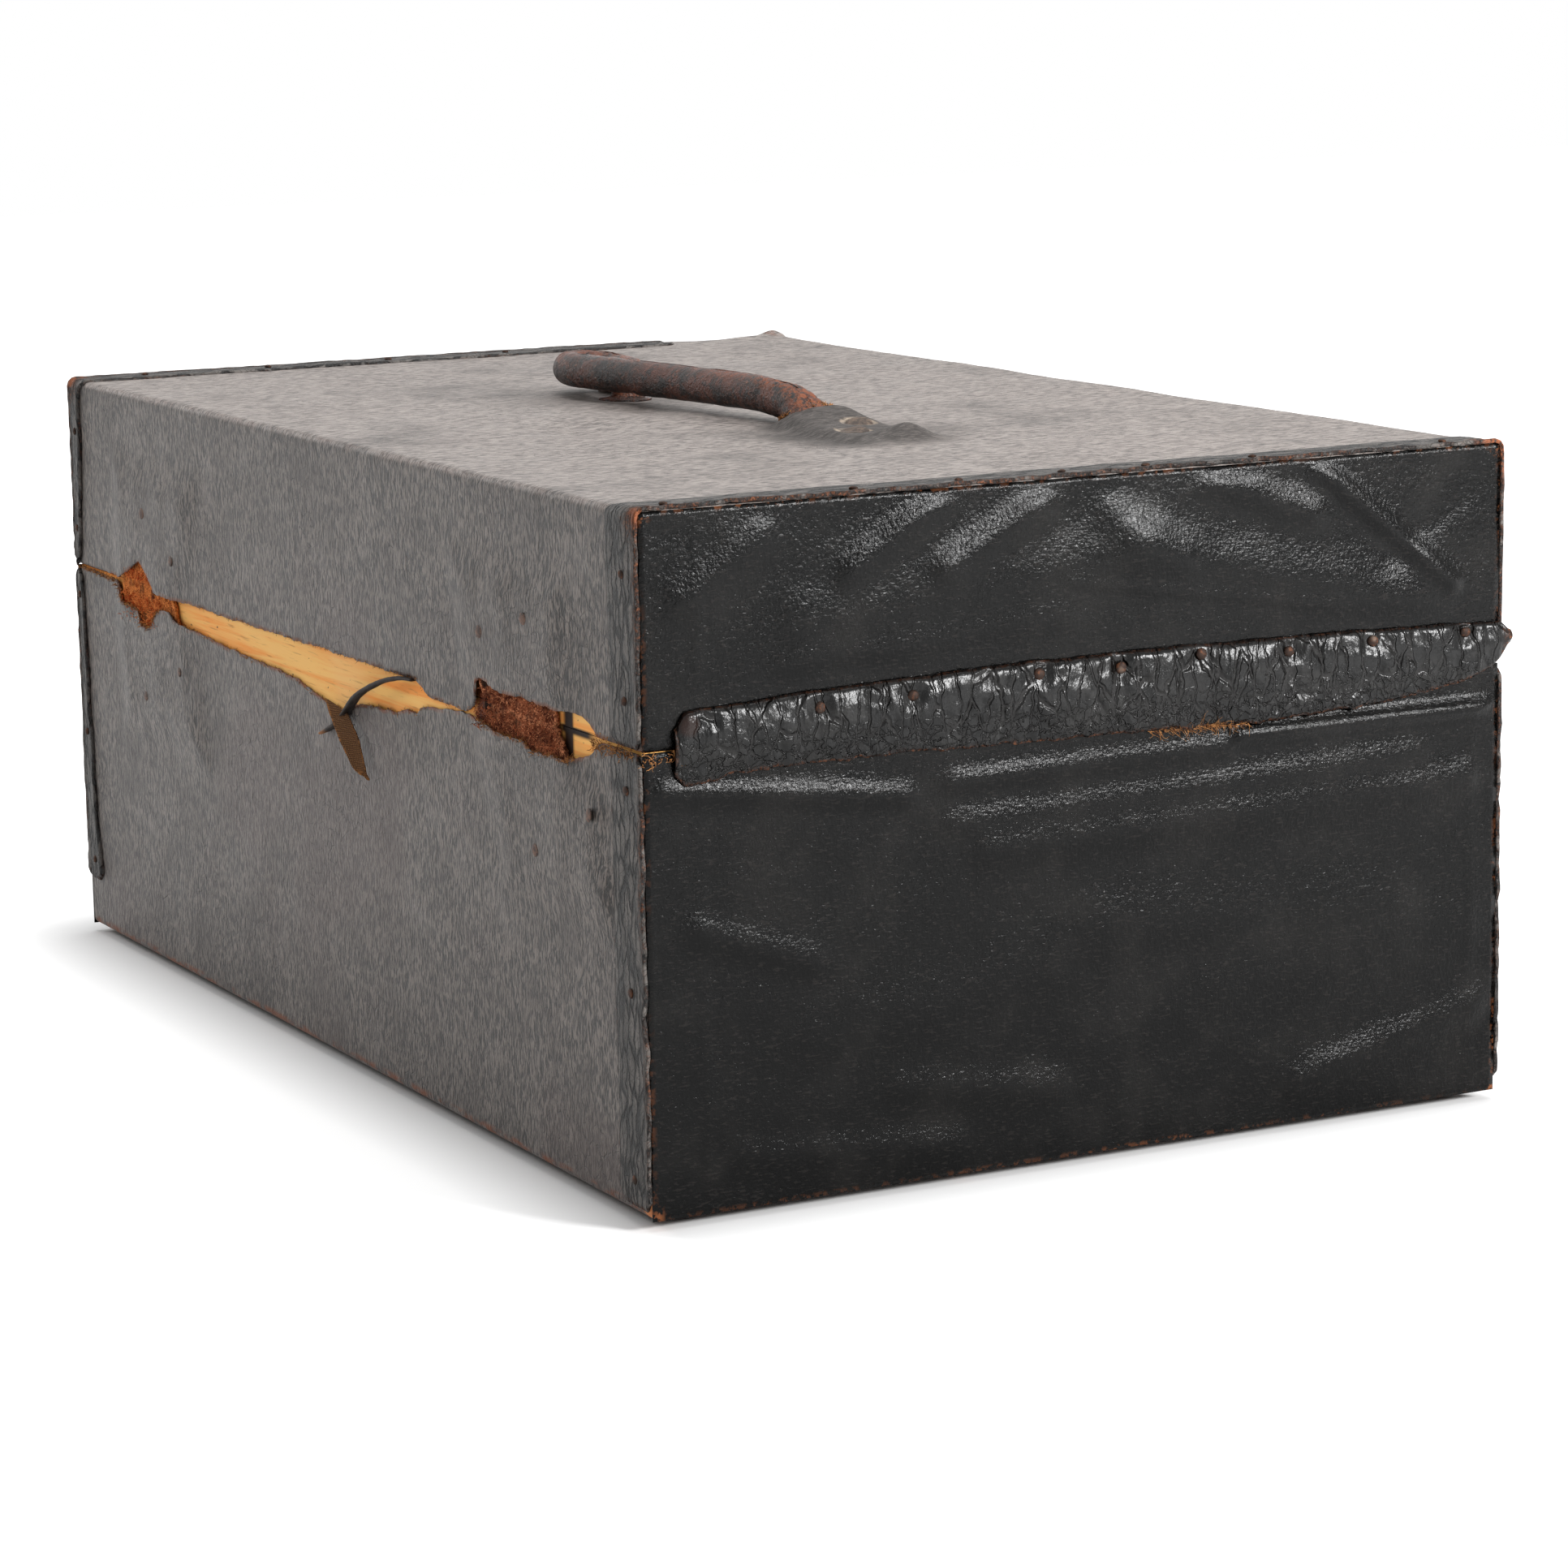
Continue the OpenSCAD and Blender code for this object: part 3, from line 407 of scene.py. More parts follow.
hem_edge = [(-305, 178.6), (-277, 178.4), (-267, 178.6), (-264, 181), (-255, 184.3), (-245, 185.1),
            (-236, 184.2), (-225, 184.6), (-205, 185.3), (-190, 184.4), (-179, 185.2), (-171, 187.5),
            (-166, 187), (-162, 184.5), (-160, 178), (-156, 174.2), (-148, 171.2), (-132, 171.3),
            (-120, 171.2), (-108, 172.4), (-100, 176.6), (-88, 176.6), (-60, 176.9), (0, 177),
            (39, 176.4), (105, 176.2), (175, 176.4), (195, 177), (198, 181.5), (205, 184.7),
            (213, 190.2), (220, 187), (227, 183.9), (236, 181.4), (243, 179.5), (250, 178.8),
            (305, 178.8)]
# The nails of the straps, four in the base and four in the lid: (X, Z)
strap_nails = [(166, 145), (211, 128), (-263, 149), (-215, 128),
               (207, 212.3), (172, 194.3), (-168, 205.3), (-209, 215.3)]


def frayed(x, kind):
    """The raggedness of a torn edge of cloth."""
    return 0.7 * lumps(x, 0, 0, 5, kind) + 0.6 * lumps(x, 0, 0, 2.1, kind + 1)


def hinge_side_swell(x, z):
    """How far the cloth stands off the boards on the hinge side."""
    inside = max(over_strap(x, z, "far"), over_strap(x, z, "near"))
    rise = soft(-22, 6, inside) * (3.3 + 0.5 * lumps(x, 0, z, 16))
    pleats = soft(-45, -8, inside) * (1 - soft(-2, 12, inside))
    rise += pleats * (0.1 * lumps(x, 0, z / 4, 9, 2) + 0.45 * lumps(x, 0, z / 3, 19, 3))
    for nail_x, nail_z in strap_nails:
        away = math.hypot(x - nail_x, (z - nail_z) * 0.8)
        if away < 26:
            rise -= max(rise - 2.55, 0) * (1 - soft(2.5, 11, away))
            rise -= 0.5 * (1 - soft(8, 24, away)) * soft(5, 10, away)
    return rise * (1 - soft(272, 280, abs(x)))


def cloth_lie(x, y, z):
    """The small unevenness of glued cloth."""
    return 0.22 * lumps(x, y, z, 48) + 0.1 * lumps(x, y / 5, z / 5, 9, 1) \
        + 0.12 * lumps(x, y / 3, z / 3, 22, 2)


def around_base(side, step, under_rows, side_rows, edge):
    """The base's bare surface by rows, as (Y, Z) and which way is out: along the underside,
    round its corner and up to edge. Side is 1 at the hinges and -1 at the front."""
    if step < under_rows:
        return 150 + (185 * side - 150) * step / under_rows, 4, 0, -1
    if step < under_rows + 4:
        turn = (step - under_rows) / 4 * math.pi / 2
        out_y, out_z = side * math.sin(turn), -math.cos(turn)
        return 185 * side + 3 * out_y, 7 + 3 * out_z, out_y, out_z
    return half_width * side, 7 + (edge - 7) * (step - under_rows - 4) / side_rows, side, 0


def along_case(u):
    """X across a sheet of the covering, from the far end to the near one."""
    return (half_length - 0.4) * (1 - 2 * u)


def place_base_back(u, v):
    x, step = along_case(u), v * 100
    edge = along(torn_edge, x) + frayed(x, 4)
    y, z, out_y, out_z = around_base(1, step, 6, 90, edge)
    rise = cloth_lie(x, y, z) * (1 if step > 10 else 0.3)
    worn = 0
    if step > 10:
        rise += hinge_side_swell(x, z) * soft(8, 30, z)
        to_tear = edge - z
        opened = soft(-112, -92, x) * (1 - soft(166, 180, x))
        rise += (1 - soft(0, 7, to_tear)) * (0.5 + 0.7 * lumps(x, 0, 0, 17, 6)) * opened
        rise += (1 - soft(0, 10, to_tear)) * 0.5 * lumps(x, 0, z, 8, 7)
        worn = 0.9 * (1 - soft(0, 1.6, to_tear)) \
            + 0.7 * (1 - soft(3, 9, z)) * soft(-0.1, 0.5, lumps(x, 0, 0, 40, 12))
    elif step > 4:
        worn = 0.8 * soft(4, 7, step)
    return x, y + out_y * rise, z + out_z * rise, worn


def place_base_front(u, v):
    x, step = along_case(u), v * 60
    y, z, out_y, out_z = around_base(-1, step, 24, 32, 177.8)
    rise = cloth_lie(x, y, z) * (0.3 if step < 28 else 1)
    worn = 0.5 * (soft(20, 26, step) - soft(28, 29, step)) * soft(-0.1, 0.5, lumps(x, 0, 0, 40, 12))
    return x, y + out_y * rise, z + out_z * rise, worn


for name, shape, replaced in (
        ("base_cloth_hinge_side", spread(305, 100, place_base_back), ["base_covering"]),
        ("base_cloth_front", spread(152, 60, place_base_front), [])):
    thicken(finished(name, shape, grey_cloth, "base", replaced), 0.9, rim_only=True)

# On top the cloth swells over the near tab of the handle, with two sunk rivets, a sharp
# bump at the tab's end and a cuff that climbs the leg. It is hollow under the grip.
tab_crest = [(-188, 0), (-176, 0.3), (-168, 0.9), (-162, 1.7), (-156, 2.4), (-152, 2.6), (-148, 2.6),
             (-137, 2.6), (-126, 2.8), (-116, 3.5), (-109, 4.9), (-103, 6.6), (-97, 8.2), (-91, 8.4),
             (-86, 6.4), (-80, 2.4), (-73, 0)]
cuff_width = [(-190, 5), (-160, 8), (-150, 12), (-112, 13), (-98, 11), (-80, 8)]
# Swellings and hollows: (X, Y, height, whole within, gone beyond, squeeze along X)
top_lumps = [(-131, 19, 1.3, 2, 9, 0.6), (67, 13, -1, 13, 34, 1), (20, 55, 0.8, 10, 60, 0.6),
             (14, 31, -1.2, 4, 24, 0.7), (-42, 84, -1.3, 4, 30, 0.55), (303, -186, 2.1, 2, 11, 1),
             (303, -186, 0.4, 6, 36, 1)]
# The pits of the near rivets: (X, Y, height of the floor)
rivet_pits = [(-116, -5, 2.6), (-137, 9, 1.9)]


def top_swell(x, y):
    """How far the cloth stands off the top."""
    rise = 0.5 + 0.4 * lumps(x, y, 0, 70, 3)
    if -190 < x < -70:
        width = along(cuff_width, x)
        share = 1 - soft(width, width + 13, abs(y - 2 - 0.6 * lumps(x, 0, 0, 15)))
        rise += along(tab_crest, x) * share * (1 - 0.3 * soft(3, 16, y) * soft(-108, -96, x))
        rise += 4.4 * max(0, 1 - math.hypot(x + 155, (y + 5.6) * 0.8) / 15) ** 1.25
    for at_x, at_y, lump, whole, gone, squeeze in top_lumps:
        rise += lump * (1 - soft(whole, gone, math.hypot((x - at_x) * squeeze, y - at_y)))
    for at_x, at_y, sunk in rivet_pits:
        rise -= max(rise - sunk, 0) * (1 - soft(5, 8, math.hypot(x - at_x, y - at_y)))
    rise += 0.9 * soft(284, 303, x) * lumps(0, y, 0, 26, 5) * (1 - soft(-130, -110, y))
    return max(rise, -0.75)


lid_rows = (42, 3, 160, 3, 12)


def around_lid(hem, step):
    """The lid's bare surface by rows from the hinge side's hem: (Y, Z) and which way is out."""
    for part, count in enumerate(lid_rows):
        if step <= count or part == 4:
            break
        step -= count
    share = step / count
    if part == 0:
        return half_width, hem + (262 - hem) * share, 1, 0
    if part == 2:
        return 185 - 370 * share, lid_top, 0, 1
    if part == 4:
        return -half_width, 262 - 83.7 * share, -1, 0
    turn = share * math.pi / 2
    out_y, out_z = (math.cos(turn), math.sin(turn)) if part == 1 else (-math.sin(turn), math.cos(turn))
    return math.copysign(185, out_y) + 3 * out_y, 262 + 3 * out_z, out_y, out_z


def place_lid(u, v):
    x = along_case(u)
    hem = along(hem_edge, x) + frayed(x, 8) * soft(-280, -262, x) * (1 - soft(255, 275, x))
    y, z, out_y, out_z = around_lid(hem, v * sum(lid_rows))
    rise, worn = cloth_lie(x, y, z), 0
    if out_y > 0.99:
        rise += hinge_side_swell(x, z) * (1 - soft(228, 256, z))
        rise += (1 - soft(0, 9, z - hem)) * 0.45 * lumps(x, 0, z, 8, 9)
        worn = 0.85 * (1 - soft(0, 1.5, z - hem))
    if out_z > 0.5:
        rise += top_swell(x, y) * soft(0.5, 1, out_z)
        lip = abs(x + 91 - 0.03 * (y - 3.8) ** 2) + 30 * soft(14, 17, abs(y - 3.8))
        far_corner = math.hypot(x - 303, y + 186)
        worn = max(worn, 0.9 * (1 - soft(1, 3.4, lip)), 0.8 * (1 - soft(2, 12, far_corner)))
    if 0 < out_z < 1:
        worn = max(worn, 0.12 * (1 - (math.atan2(out_z, abs(out_y)) / (math.pi / 4) - 1) ** 2))
    return x, y + out_y * rise, z + out_z * rise, worn


lid_cloth = finished("lid_cloth", spread(305, sum(lid_rows), place_lid), grey_cloth,
                     None, ["lid_covering"])
settle(thicken(lid_cloth, 0.9, rim_only=True))
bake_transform(lid_cloth)

# End faces: the same cloth with a gloss black coat, in one panel on the base and one on the
# lid. Loose glue has let it rise in soft ripples, and its hems show near the corners.
black_cloth = Finish("gloss black leathercloth", Specular_IOR_Level=0.13)
crinkle = black_cloth.cloud(1.3, 3, 0.6, (1, 1, 1.5), 0.5)
threads_through = black_cloth.cloud(0.8, 1, 0.5, (1, 4, 1))
dulled = black_cloth.cloud(30, 3, 0.6)
nicks = black_cloth.cloud(4, 3, 0.65).past(0.5, 0.6) * black_cloth.worn()
coal = black_cloth.over(paint(3, 3, 3), (paint(15, 14, 13), dulled.past(0.44, 0.72)),
                        (paint(44, 40, 38), threads_through.past(0.56, 0.72) * 0.3),
                        (paint(124, 74, 44), nicks))
black_cloth.dress(coal, 0.1 + dulled * 0.12 + threads_through * 0.06 + nicks * 0.3,
                  crinkle * 0.75 + threads_through * 0.25, 0.4)
# Ripples of the end cloth, each along a line: its two ends (Y, Z), its half width, its height
ripples = {
    "lid": [((102, 238), (66, 260), 7, 1), ((62, 236), (22, 256), 8, 1.1), ((-56, 260), (-100, 244), 8, 1.2),
            ((-102, 262), (-166, 212), 5, 1.5), ((120, 218), (-20, 236), 15, 0.9),
            ((-20, 236), (-150, 206), 15, 0.9), ((130, 204), (10, 214), 7, 0.5),
            ((10, 226), (-113, 207), 1.6, 0.35), ((170, 232), (140, 252), 8, 0.7),
            ((-10, 250), (-40, 232), 9, 0.6), ((-170, 250), (-140, 226), 9, -0.7)],
    "base": [((-66, 160.5), (-187, 161.5), 3.4, 2), ((60, 155), (-60, 157), 5, 0.8),
             ((183, 163), (80, 152), 5, 0.9), ((45, 128), (-172, 133), 9, 1),
             ((60, 139), (-150, 146), 6, 0.6), ((167, 110), (120, 94), 7, 0.8),
             ((84, 41), (17, 32), 8, 0.8), ((-95, 20), (-184, 42), 9, 1.1),
             ((0, 96), (-140, 84), 16, 0.7), ((120, 66), (20, 78), 14, 0.6), ((-60, 60), (-170, 74), 14, 0.6),
             ((150, 24), (60, 16), 7, 0.6)]}


def off_line(point, start, end):
    """How far a point lies off a line between two others."""
    along_line = Vector(end) - Vector(start)
    share = min(max((Vector(point) - Vector(start)).dot(along_line) / along_line.length_squared, 0), 1)
    return (Vector(point) - Vector(start) - along_line * share).length


def place_panel(side, low, high, outward):
    """The cloth of one end of the base or the lid, from one height to another."""
    def place(u, v):
        y, z = 188.2 * (1 - 2 * u), low + (high - low) * v
        shown = -outward * y
        rise = 0.7 * lumps(0, shown * 0.8, z, 30, outward) + 0.16 * lumps(0, shown, z, 9, 3 + outward)
        for first, last, width, crest in ripples[side]:
            away = off_line((shown, z), first, last) / width
            if away < 2.6:
                rise += 1.7 * crest * math.exp(-1.4 * away ** 2)
        for hem in (166, -176):
            rise += 0.35 * (1 - soft(0, 1.6, abs(shown - hem - 0.8 * lumps(0, 0, z, 30))))
        at_seam, at_rim = (z - low, high - z) if side == "lid" else (high - z, z - low)
        edge = min(half_width - abs(y), at_rim)
        rise = rise * soft(0, 9, edge) * (0.4 + 0.6 * soft(0, 6, at_seam)) + 0.3
        rise = max(rise * (soft(194, 208, z) if side == "lid" else 1), -0.4)
        corner = math.hypot(abs(y) - half_width, at_rim)
        worn = max((0.3 + 0.6 * lumps(0, y, z, 40, 6)) * (1 - soft(0, 2, edge)), 1 - soft(2, 6, corner))
        return outward * (half_length + rise), y, z, worn
    return place


for side, low, high, rows in (("base", 4, 177.8, 84), ("lid", 178.4, 265.1, 44)):
    for end, outward in (("near", -1), ("far", 1)):
        panel = spread(150, rows, place_panel(side, low, high, outward))
        thicken(finished("_".join((side, end, "end_cloth")), panel, black_cloth,
                         side, ["_".join((side, end, "end_panel"))]), 0.8, rim_only=True)

# Bindings: strips of black leather tacked over the edges at both ends. The leather has
# crackled along its length, its cut edges are ragged and brown, the corners are rubbed
# through, and the far one has lost a stretch of its top and its foot.
binding_leather = Finish("crackled binding leather", Specular_IOR_Level=0.32)
pulled = binding_leather.wander(2.5, 6)
splits = binding_leather.crackle(3.6, (1, 4.6, 4.6), pulled)
fine_splits = binding_leather.crackle(1.5, (1, 2, 2), pulled)
flaked = binding_leather.cloud(6, 3, 0.65, (1, 3, 3))
torn = binding_leather.worn() * binding_leather.cloud(3, 4, 0.7, (1, 1.6, 1.6)).past(0.34, 0.56)
frays = binding_leather.over(paint(32, 21, 16),
                             (paint(128, 76, 47), binding_leather.cloud(1.4, 3, 0.7).past(0.46, 0.72)))
hide = binding_leather.over(
    paint(60, 57, 54), (paint(104, 99, 95), flaked.past(0.35, 0.68)),
    (paint(9, 8, 7), splits.past(0.2, 0.07)), (paint(34, 30, 28), fine_splits.past(0.07, 0.01) * 0.5),
    (frays, torn))
for corner, reach in (((-305, -187, 262), 14), ((-303, 188, 265), 7), ((305, 188, 265), 8)):
    hide = binding_leather.over(hide, (
        paint(148, 86, 54), binding_leather.spot(corner, reach * 0.3, reach) * 0.85
        * binding_leather.cloud(4, 3, 0.6).past(0.4, 0.52)))
binding_leather.dress(hide, 0.38 + flaked * 0.3 + torn * 0.3,
                      splits.past(0, 0.14) * 0.7 + fine_splits.past(0, 0.1) * 0.3 + torn * flaked * 0.5, 0.9)


def strip_rise(u, x, y, z, thick_inside):
    """The standing of a binding over the cloth, from its inner edge at 0 to its outer one at 1."""
    body = 1.25 + 0.45 * lumps(x, y / 2, z / 2, 12, 11) + 0.25 * lumps(x * 2, y / 3, z / 3, 7, 12)
    body *= soft(0, 0.1 if thick_inside else 0.3, u) ** 0.5 * 0.85 + 0.15
    if thick_inside:
        body += 0.5 * soft(0, 0.06, u) * (1 - soft(0.1, 0.32, u))
    return body + (0.9 + 0.7 * lumps(0, y, z, 6, 13)) * soft(0.82, 0.96, u) * (0.4 if thick_inside else 1)


def strip_wear(u, x, y, z):
    ragged = 0.5 + 0.5 * lumps(x, y, z, 9, 14)
    corner = math.dist((x, abs(y), z), (half_length, half_width, lid_top))
    patchy = min(max(0.5 + 1.1 * lumps(x, y, z, 30, 18), 0.15), 1)
    return max(0.8 * patchy * (1 - soft(0, 0.06, u)), patchy * soft(0.88 - 0.2 * ragged, 0.98, u),
               1 - soft(4, 16, corner))


# The far binding's inner edge, by height: (Z, X)
trimmed = [(7, 284), (34, 287), (56, 292), (108, 295), (172, 298), (179, 299), (221, 294),
           (262, 292), (266, 284)]


def binding(name, rows, lie, side, outward, replaced=()):
    """A binding strip: lie(v) gives the bare surface under it and which way is out."""
    def place_strip(u, v):
        y, z, out_y, out_z = lie(v)
        run = v * rows * 2.2
        ends = min(v, 1 - v) * rows * 2.2
        cut_back = (1 - soft(0, 6, ends)) ** 2
        inner = (along(trimmed, z) if outward > 0 else 278) + 1.2 * lumps(0, 0, run, 21, outward) \
            + 0.5 * lumps(0, 0, run, 4, 15) + 5 * cut_back
        outer = 305.6 + 0.7 * lumps(0, 0, run, 5, 16 + outward) + 0.5 * lumps(0, 0, run, 2.2, 17) \
            - 4 * cut_back
        x = inner + (outer - inner) * u
        rise = strip_rise(u, outward * x, y, z, outward > 0) * (0.35 + 0.65 * soft(0, 2.5, ends))
        worn = max(strip_wear(u, x, y, z), 1 - soft(0, 2.5, ends))
        return outward * x, y + out_y * rise, z + out_z * rise, worn

    made = finished(name, spread(20, rows, place_strip, (outward * 290, 0, 130)), binding_leather,
                    side, replaced)
    thicken(made, 1.5)


def round_lid(first, last):
    return lambda v: around_lid(178.7, first + (last - first) * v)


def up_side(low, out):
    return lambda v: (out * half_width, low + (177.4 - low) * v, out, 0)


binding("lid_near_binding_strip", 240, round_lid(0, 220), "lid", -1, ["lid_near_binding"])
binding("lid_far_binding_strip", 190, round_lid(0, 178.2), "lid", 1, ["lid_far_binding"])
binding("lid_far_binding_front", 38, round_lid(208.6, 220), "lid", 1)
binding("base_near_binding_back", 78, up_side(7, 1), "base", -1, ["base_near_binding"])
binding("base_near_binding_front", 78, up_side(7, -1), "base", -1)
binding("base_far_binding_back", 68, up_side(27, 1), "base", 1, ["base_far_binding"])
binding("base_far_binding_front", 68, up_side(27, -1), "base", 1)

# Dust flaps: strips of black leather nailed along the lid's edge that hang over the seam
# at both ends and on the front. The leather is glossy and crazed, with upright creases,
# fans of fine cracks along its foot, and a ragged brown edge.
flap_leather = Finish("crazed flap leather", Specular_IOR_Level=0.24)
upright = flap_leather.crackle(6.4, (4.2, 1, 3.4), flap_leather.wander(3, 8))
shells = flap_leather.crackle(3.4, (1.8, 1.8, 1), flap_leather.wander(4, 5))
foot = flap_leather.axis("Z").past(184, 172)
creases = (upright.past(0.1, 0.02) * (1 - foot * 0.6)).most(shells.past(0.13, 0.02) * foot)
sheen = flap_leather.cloud(9, 3, 0.6, (1, 2, 1))
tan_edge = flap_leather.worn() * flap_leather.cloud(3.4, 4, 0.7).past(0.36, 0.54)
rough_tan = flap_leather.over(paint(40, 24, 17),
                              (paint(124, 74, 44), flap_leather.cloud(1.3, 3, 0.7).past(0.45, 0.68)))
pitch = flap_leather.over(paint(4, 4, 4), (paint(24, 23, 22), sheen.past(0.42, 0.72)),
                          (paint(12, 10, 9), creases), (rough_tan, tan_edge),
                          (paint(30, 16, 11), flap_leather.spot((-307, 170.5, 187), 2.6, 5.4) * 0.95))
flap_leather.dress(pitch, 0.17 + sheen * 0.2 + tan_edge * 0.5,
                   (1 - creases) * 0.75 + flap_leather.cloud(3, 3, 0.6, (1, 1, 1.6)) * 0.42, 1.1)
# The edges and the tacks of an end flap: (Y, Z)
flap_foot = [(-193, 184), (-186, 178), (-178, 174), (-160, 170), (-127, 167), (-74, 165), (-23, 166),
             (76, 168), (152, 168), (166, 164.6), (177, 164)]
flap_head = [(-193, 194.4), (-127, 196.6), (-48, 197.6), (37, 197.4), (78, 196), (124, 194.6), (166, 192.4),
             (177, 190.5)]
flap_tacks = [(117, 188.6), (78, 189.4), (24, 192.6), (-12, 191.8), (-48, 194), (-88, 191.4),
              (-127, 192), (-171, 191.8)]


def flap_rise(t, z, kind):
    """Creases of a flap: uprights over its whole height, and fans along its foot."""
    crease = 1 - soft(0, 0.12, abs(lumps(t, 0, z / 7, 7, kind)))
    fan = 1 - soft(0, 0.1, abs(lumps(t, 0, z * 1.6, 9, kind + 1)))
    return 0.5 * lumps(t, 0, z / 2, 16, kind + 2) + 0.55 * lumps(t, 0, z, 5, kind + 3) \
        - 0.6 * crease - 0.7 * fan * (1 - soft(170, 180, z))


def place_end_flap(outward):
    def place(u, v):
        y = 176 - 368.8 * u
        t = y if outward < 0 else y + 400
        cut, tip = 1 - soft(0, 6, 176 - y), 1 - soft(0, 5, y + 192.8)
        foot = along(flap_foot, y) + 0.9 * lumps(t, 0, 0, 8, 21) + 0.7 * lumps(t, 0, 0, 2.6, 22) \
            + 5 * cut ** 2 + 2 * tip
        head = along(flap_head, y) + 0.5 * lumps(t, 0, 0, 14, 23) + 0.3 * lumps(t, 0, 0, 4, 24) \
            - 5 * cut ** 2 - 3 * tip
        z = foot + (head - foot) * v
        stand = 1.9 + flap_rise(t, z, 25)
        stand += 0.9 * (1 - soft(166, 178, z)) * soft(0.2, 0.8, 0.5 + lumps(t, 0, 0, 40, 28))
        stand += 1.7 * math.sin(math.pi * v ** 1.2) * (1 + 0.5 * lumps(t, 0, 0, 19, 27))
        for at_y, at_z in flap_tacks:
            stand -= 1.2 * (1 - soft(2, 7, math.hypot(y - at_y, z - at_z)))
        stand *= (0.7 + 0.3 * soft(0, 0.06, v)) * (1 - 0.7 * soft(0.95, 1, v)) * (1 - 0.4 * cut)
        worn = max(1 - soft(0, 1.2, z - foot - 0.8 * lumps(t, 0, 0, 6, 29)), 0.35 * soft(-0.7, 0, z - head),
                   tip, 0.6 * (1 - soft(0, 1, 176 - y)))
        return outward * (half_length + 0.5 + max(stand, 0.2)), y, z, worn
    return place


def place_front_flap(u, v):
    x = -277 + 554 * u
    foot = 166 + 0.9 * lumps(x, 0, 0, 9, 31) + 0.7 * lumps(x, 0, 0, 2.6, 32)
    head = 192 + 0.5 * lumps(x, 0, 0, 14, 33)
    z = foot + (head - foot) * v
    stand = (1.8 + flap_rise(x, z, 34)) * soft(0, 0.06, v) ** 0.4 * (1 - 0.8 * soft(0.95, 1, v))
    return x, -188.3 - max(stand, 0.2), z, max(1 - soft(0, 1.4, z - foot), 0.8 * soft(-0.7, 0, z - head))


for end, shape in (("near", spread(300, 26, place_end_flap(-1), (-300, 0, 180))),
                   ("far", spread(300, 26, place_end_flap(1), (300, 0, 180))),
                   ("front", spread(360, 22, place_front_flap, (0, -180, 180)))):
    thicken(finished(end + "_dust_flap_leather", shape, flap_leather, "lid",
                     [end + "_dust_flap"]), 1.3)

# Tacks of the bindings and flaps, and the nails of the strap hinges: cut iron with
# hammered heads, no two quite alike, driven until they dimple what they hold. The seed of
# noise_vector is set too, as Blender takes it from the clock.
hammering = random.Random(11)
noise.seed_set(11)


def driven(name, heads, body, replaced, look=iron):
    """Domed heads: each has its place, the way it faces, its width and its height."""
    shape = bmesh.new()
    for at, out, width, high in heads:
        lean = Vector([hammering.uniform(-0.12, 0.12) for _ in range(3)])
        turn = (Vector(out) + lean).to_track_quat("Z", "Y").to_matrix().to_4x4()
        across, deep = (width / 2 * hammering.uniform(0.93, 1.07) for _ in range(2))
        lie = Matrix.Translation(Vector(at) / 1000) @ turn @ Matrix.Diagonal((across, deep, high, 1))
        bmesh.ops.create_uvsphere(shape, u_segments=12, v_segments=8, radius=0.001, matrix=lie)
    for corner in shape.verts:
        corner.co += 0.00012 * noise.noise_vector(corner.co * 1400)
    finished(name, shape, look, body, replaced)


def on_side(places, side, width, high):
    """Heads on a long side of the case, 1 at the hinges: places are (X, Z)."""
    return [((x, side * 189.4, z), (0, side, 0), width, high) for x, z in places]


painted_over = Finish("nail heads under old dressing", Specular_IOR_Level=0.3)
rusted = painted_over.cloud(1.6, 2, 0.6)
painted_over.dress(painted_over.over(paint(66, 54, 50), (paint(112, 88, 76), rusted.past(0.38, 0.62))),
                   0.55 + rusted * 0.2, rusted, 0.2)
base_heads, lid_heads = [], []
for side in (1, -1):
    base_heads += on_side([(-292.9, z) for z in (17.5, 87.6, 162.6)], side, 3.8, 0.7)
for side in (1, -1):
    base_heads += on_side([(along(trimmed, z) / 2 + 152.6, z) for z in (36.7, 98.2, 164)], side, 3.4, 0.8)
    lid_heads += on_side([(-292.9, 195.6), (-292.9, 241.6), (301, 195.6), (298.6, 241.6)], side, 3.6, 0.8)
for x, rows in ((-296.9, (173.9, 96.2, 51.8, 7.4, -29.6, -77.7, -166.5)),
                (296.9, (153.9, 91.7, 29.5, -32.7))):
    lid_heads += [((x, y, 266.6), (0, 0, 1), 3.4, 0.8) for y in rows]
driven("base_binding_tack_heads", base_heads, "base", ["base_binding_tacks"])
driven("lid_binding_tack_heads", lid_heads, "lid", ["lid_binding_tacks"])
driven("dust_flap_tack_heads",
       [((end * 307.3, y, z), (end, 0, 0), 4.6, 1.1) for end in (-1, 1) for y, z in flap_tacks] +
       [((x, -189.9, 187.2), (0, -1, 0), 4.4, 1.1) for x in range(-250, 231, 60)],
       "lid", ["dust_flap_tacks"])
for side, nails in (("base", strap_nails[:4]), ("lid", strap_nails[4:])):
    driven(side + "_hinge_nail_heads", [((x, 190.5, z), (0, 1, 0), 5.2, 0.6) for x, z in nails],
           side, [side + "_hinge_nails"], painted_over)

# The handle: leather rolled and stitched round a rope core. Each leg runs into a flat tab
# that is riveted through the top. It has slumped over and set hard, doubled back at its far
# end in a U, and is rubbed to a gloss where hands held it and to orange on its bends.
handle_leather = Finish("rolled handle leather", Specular_IOR_Level=0.32)
skin_and_glints = handle_leather.cloud(1.5, 4, 0.65, (1, 1, 1), 0.8)
darkening = handle_leather.cloud(13, 3, 0.6, (1.6, 1, 1))
scabs = handle_leather.cloud(4.5, 3, 0.65)
bright = handle_leather.worn() * handle_leather.cloud(2.4, 3, 0.7).past(0.4, 0.64)
polish = handle_leather.cloud(20, 2) - handle_leather.spot((70, 18, 277), 12, 34) * 0.5
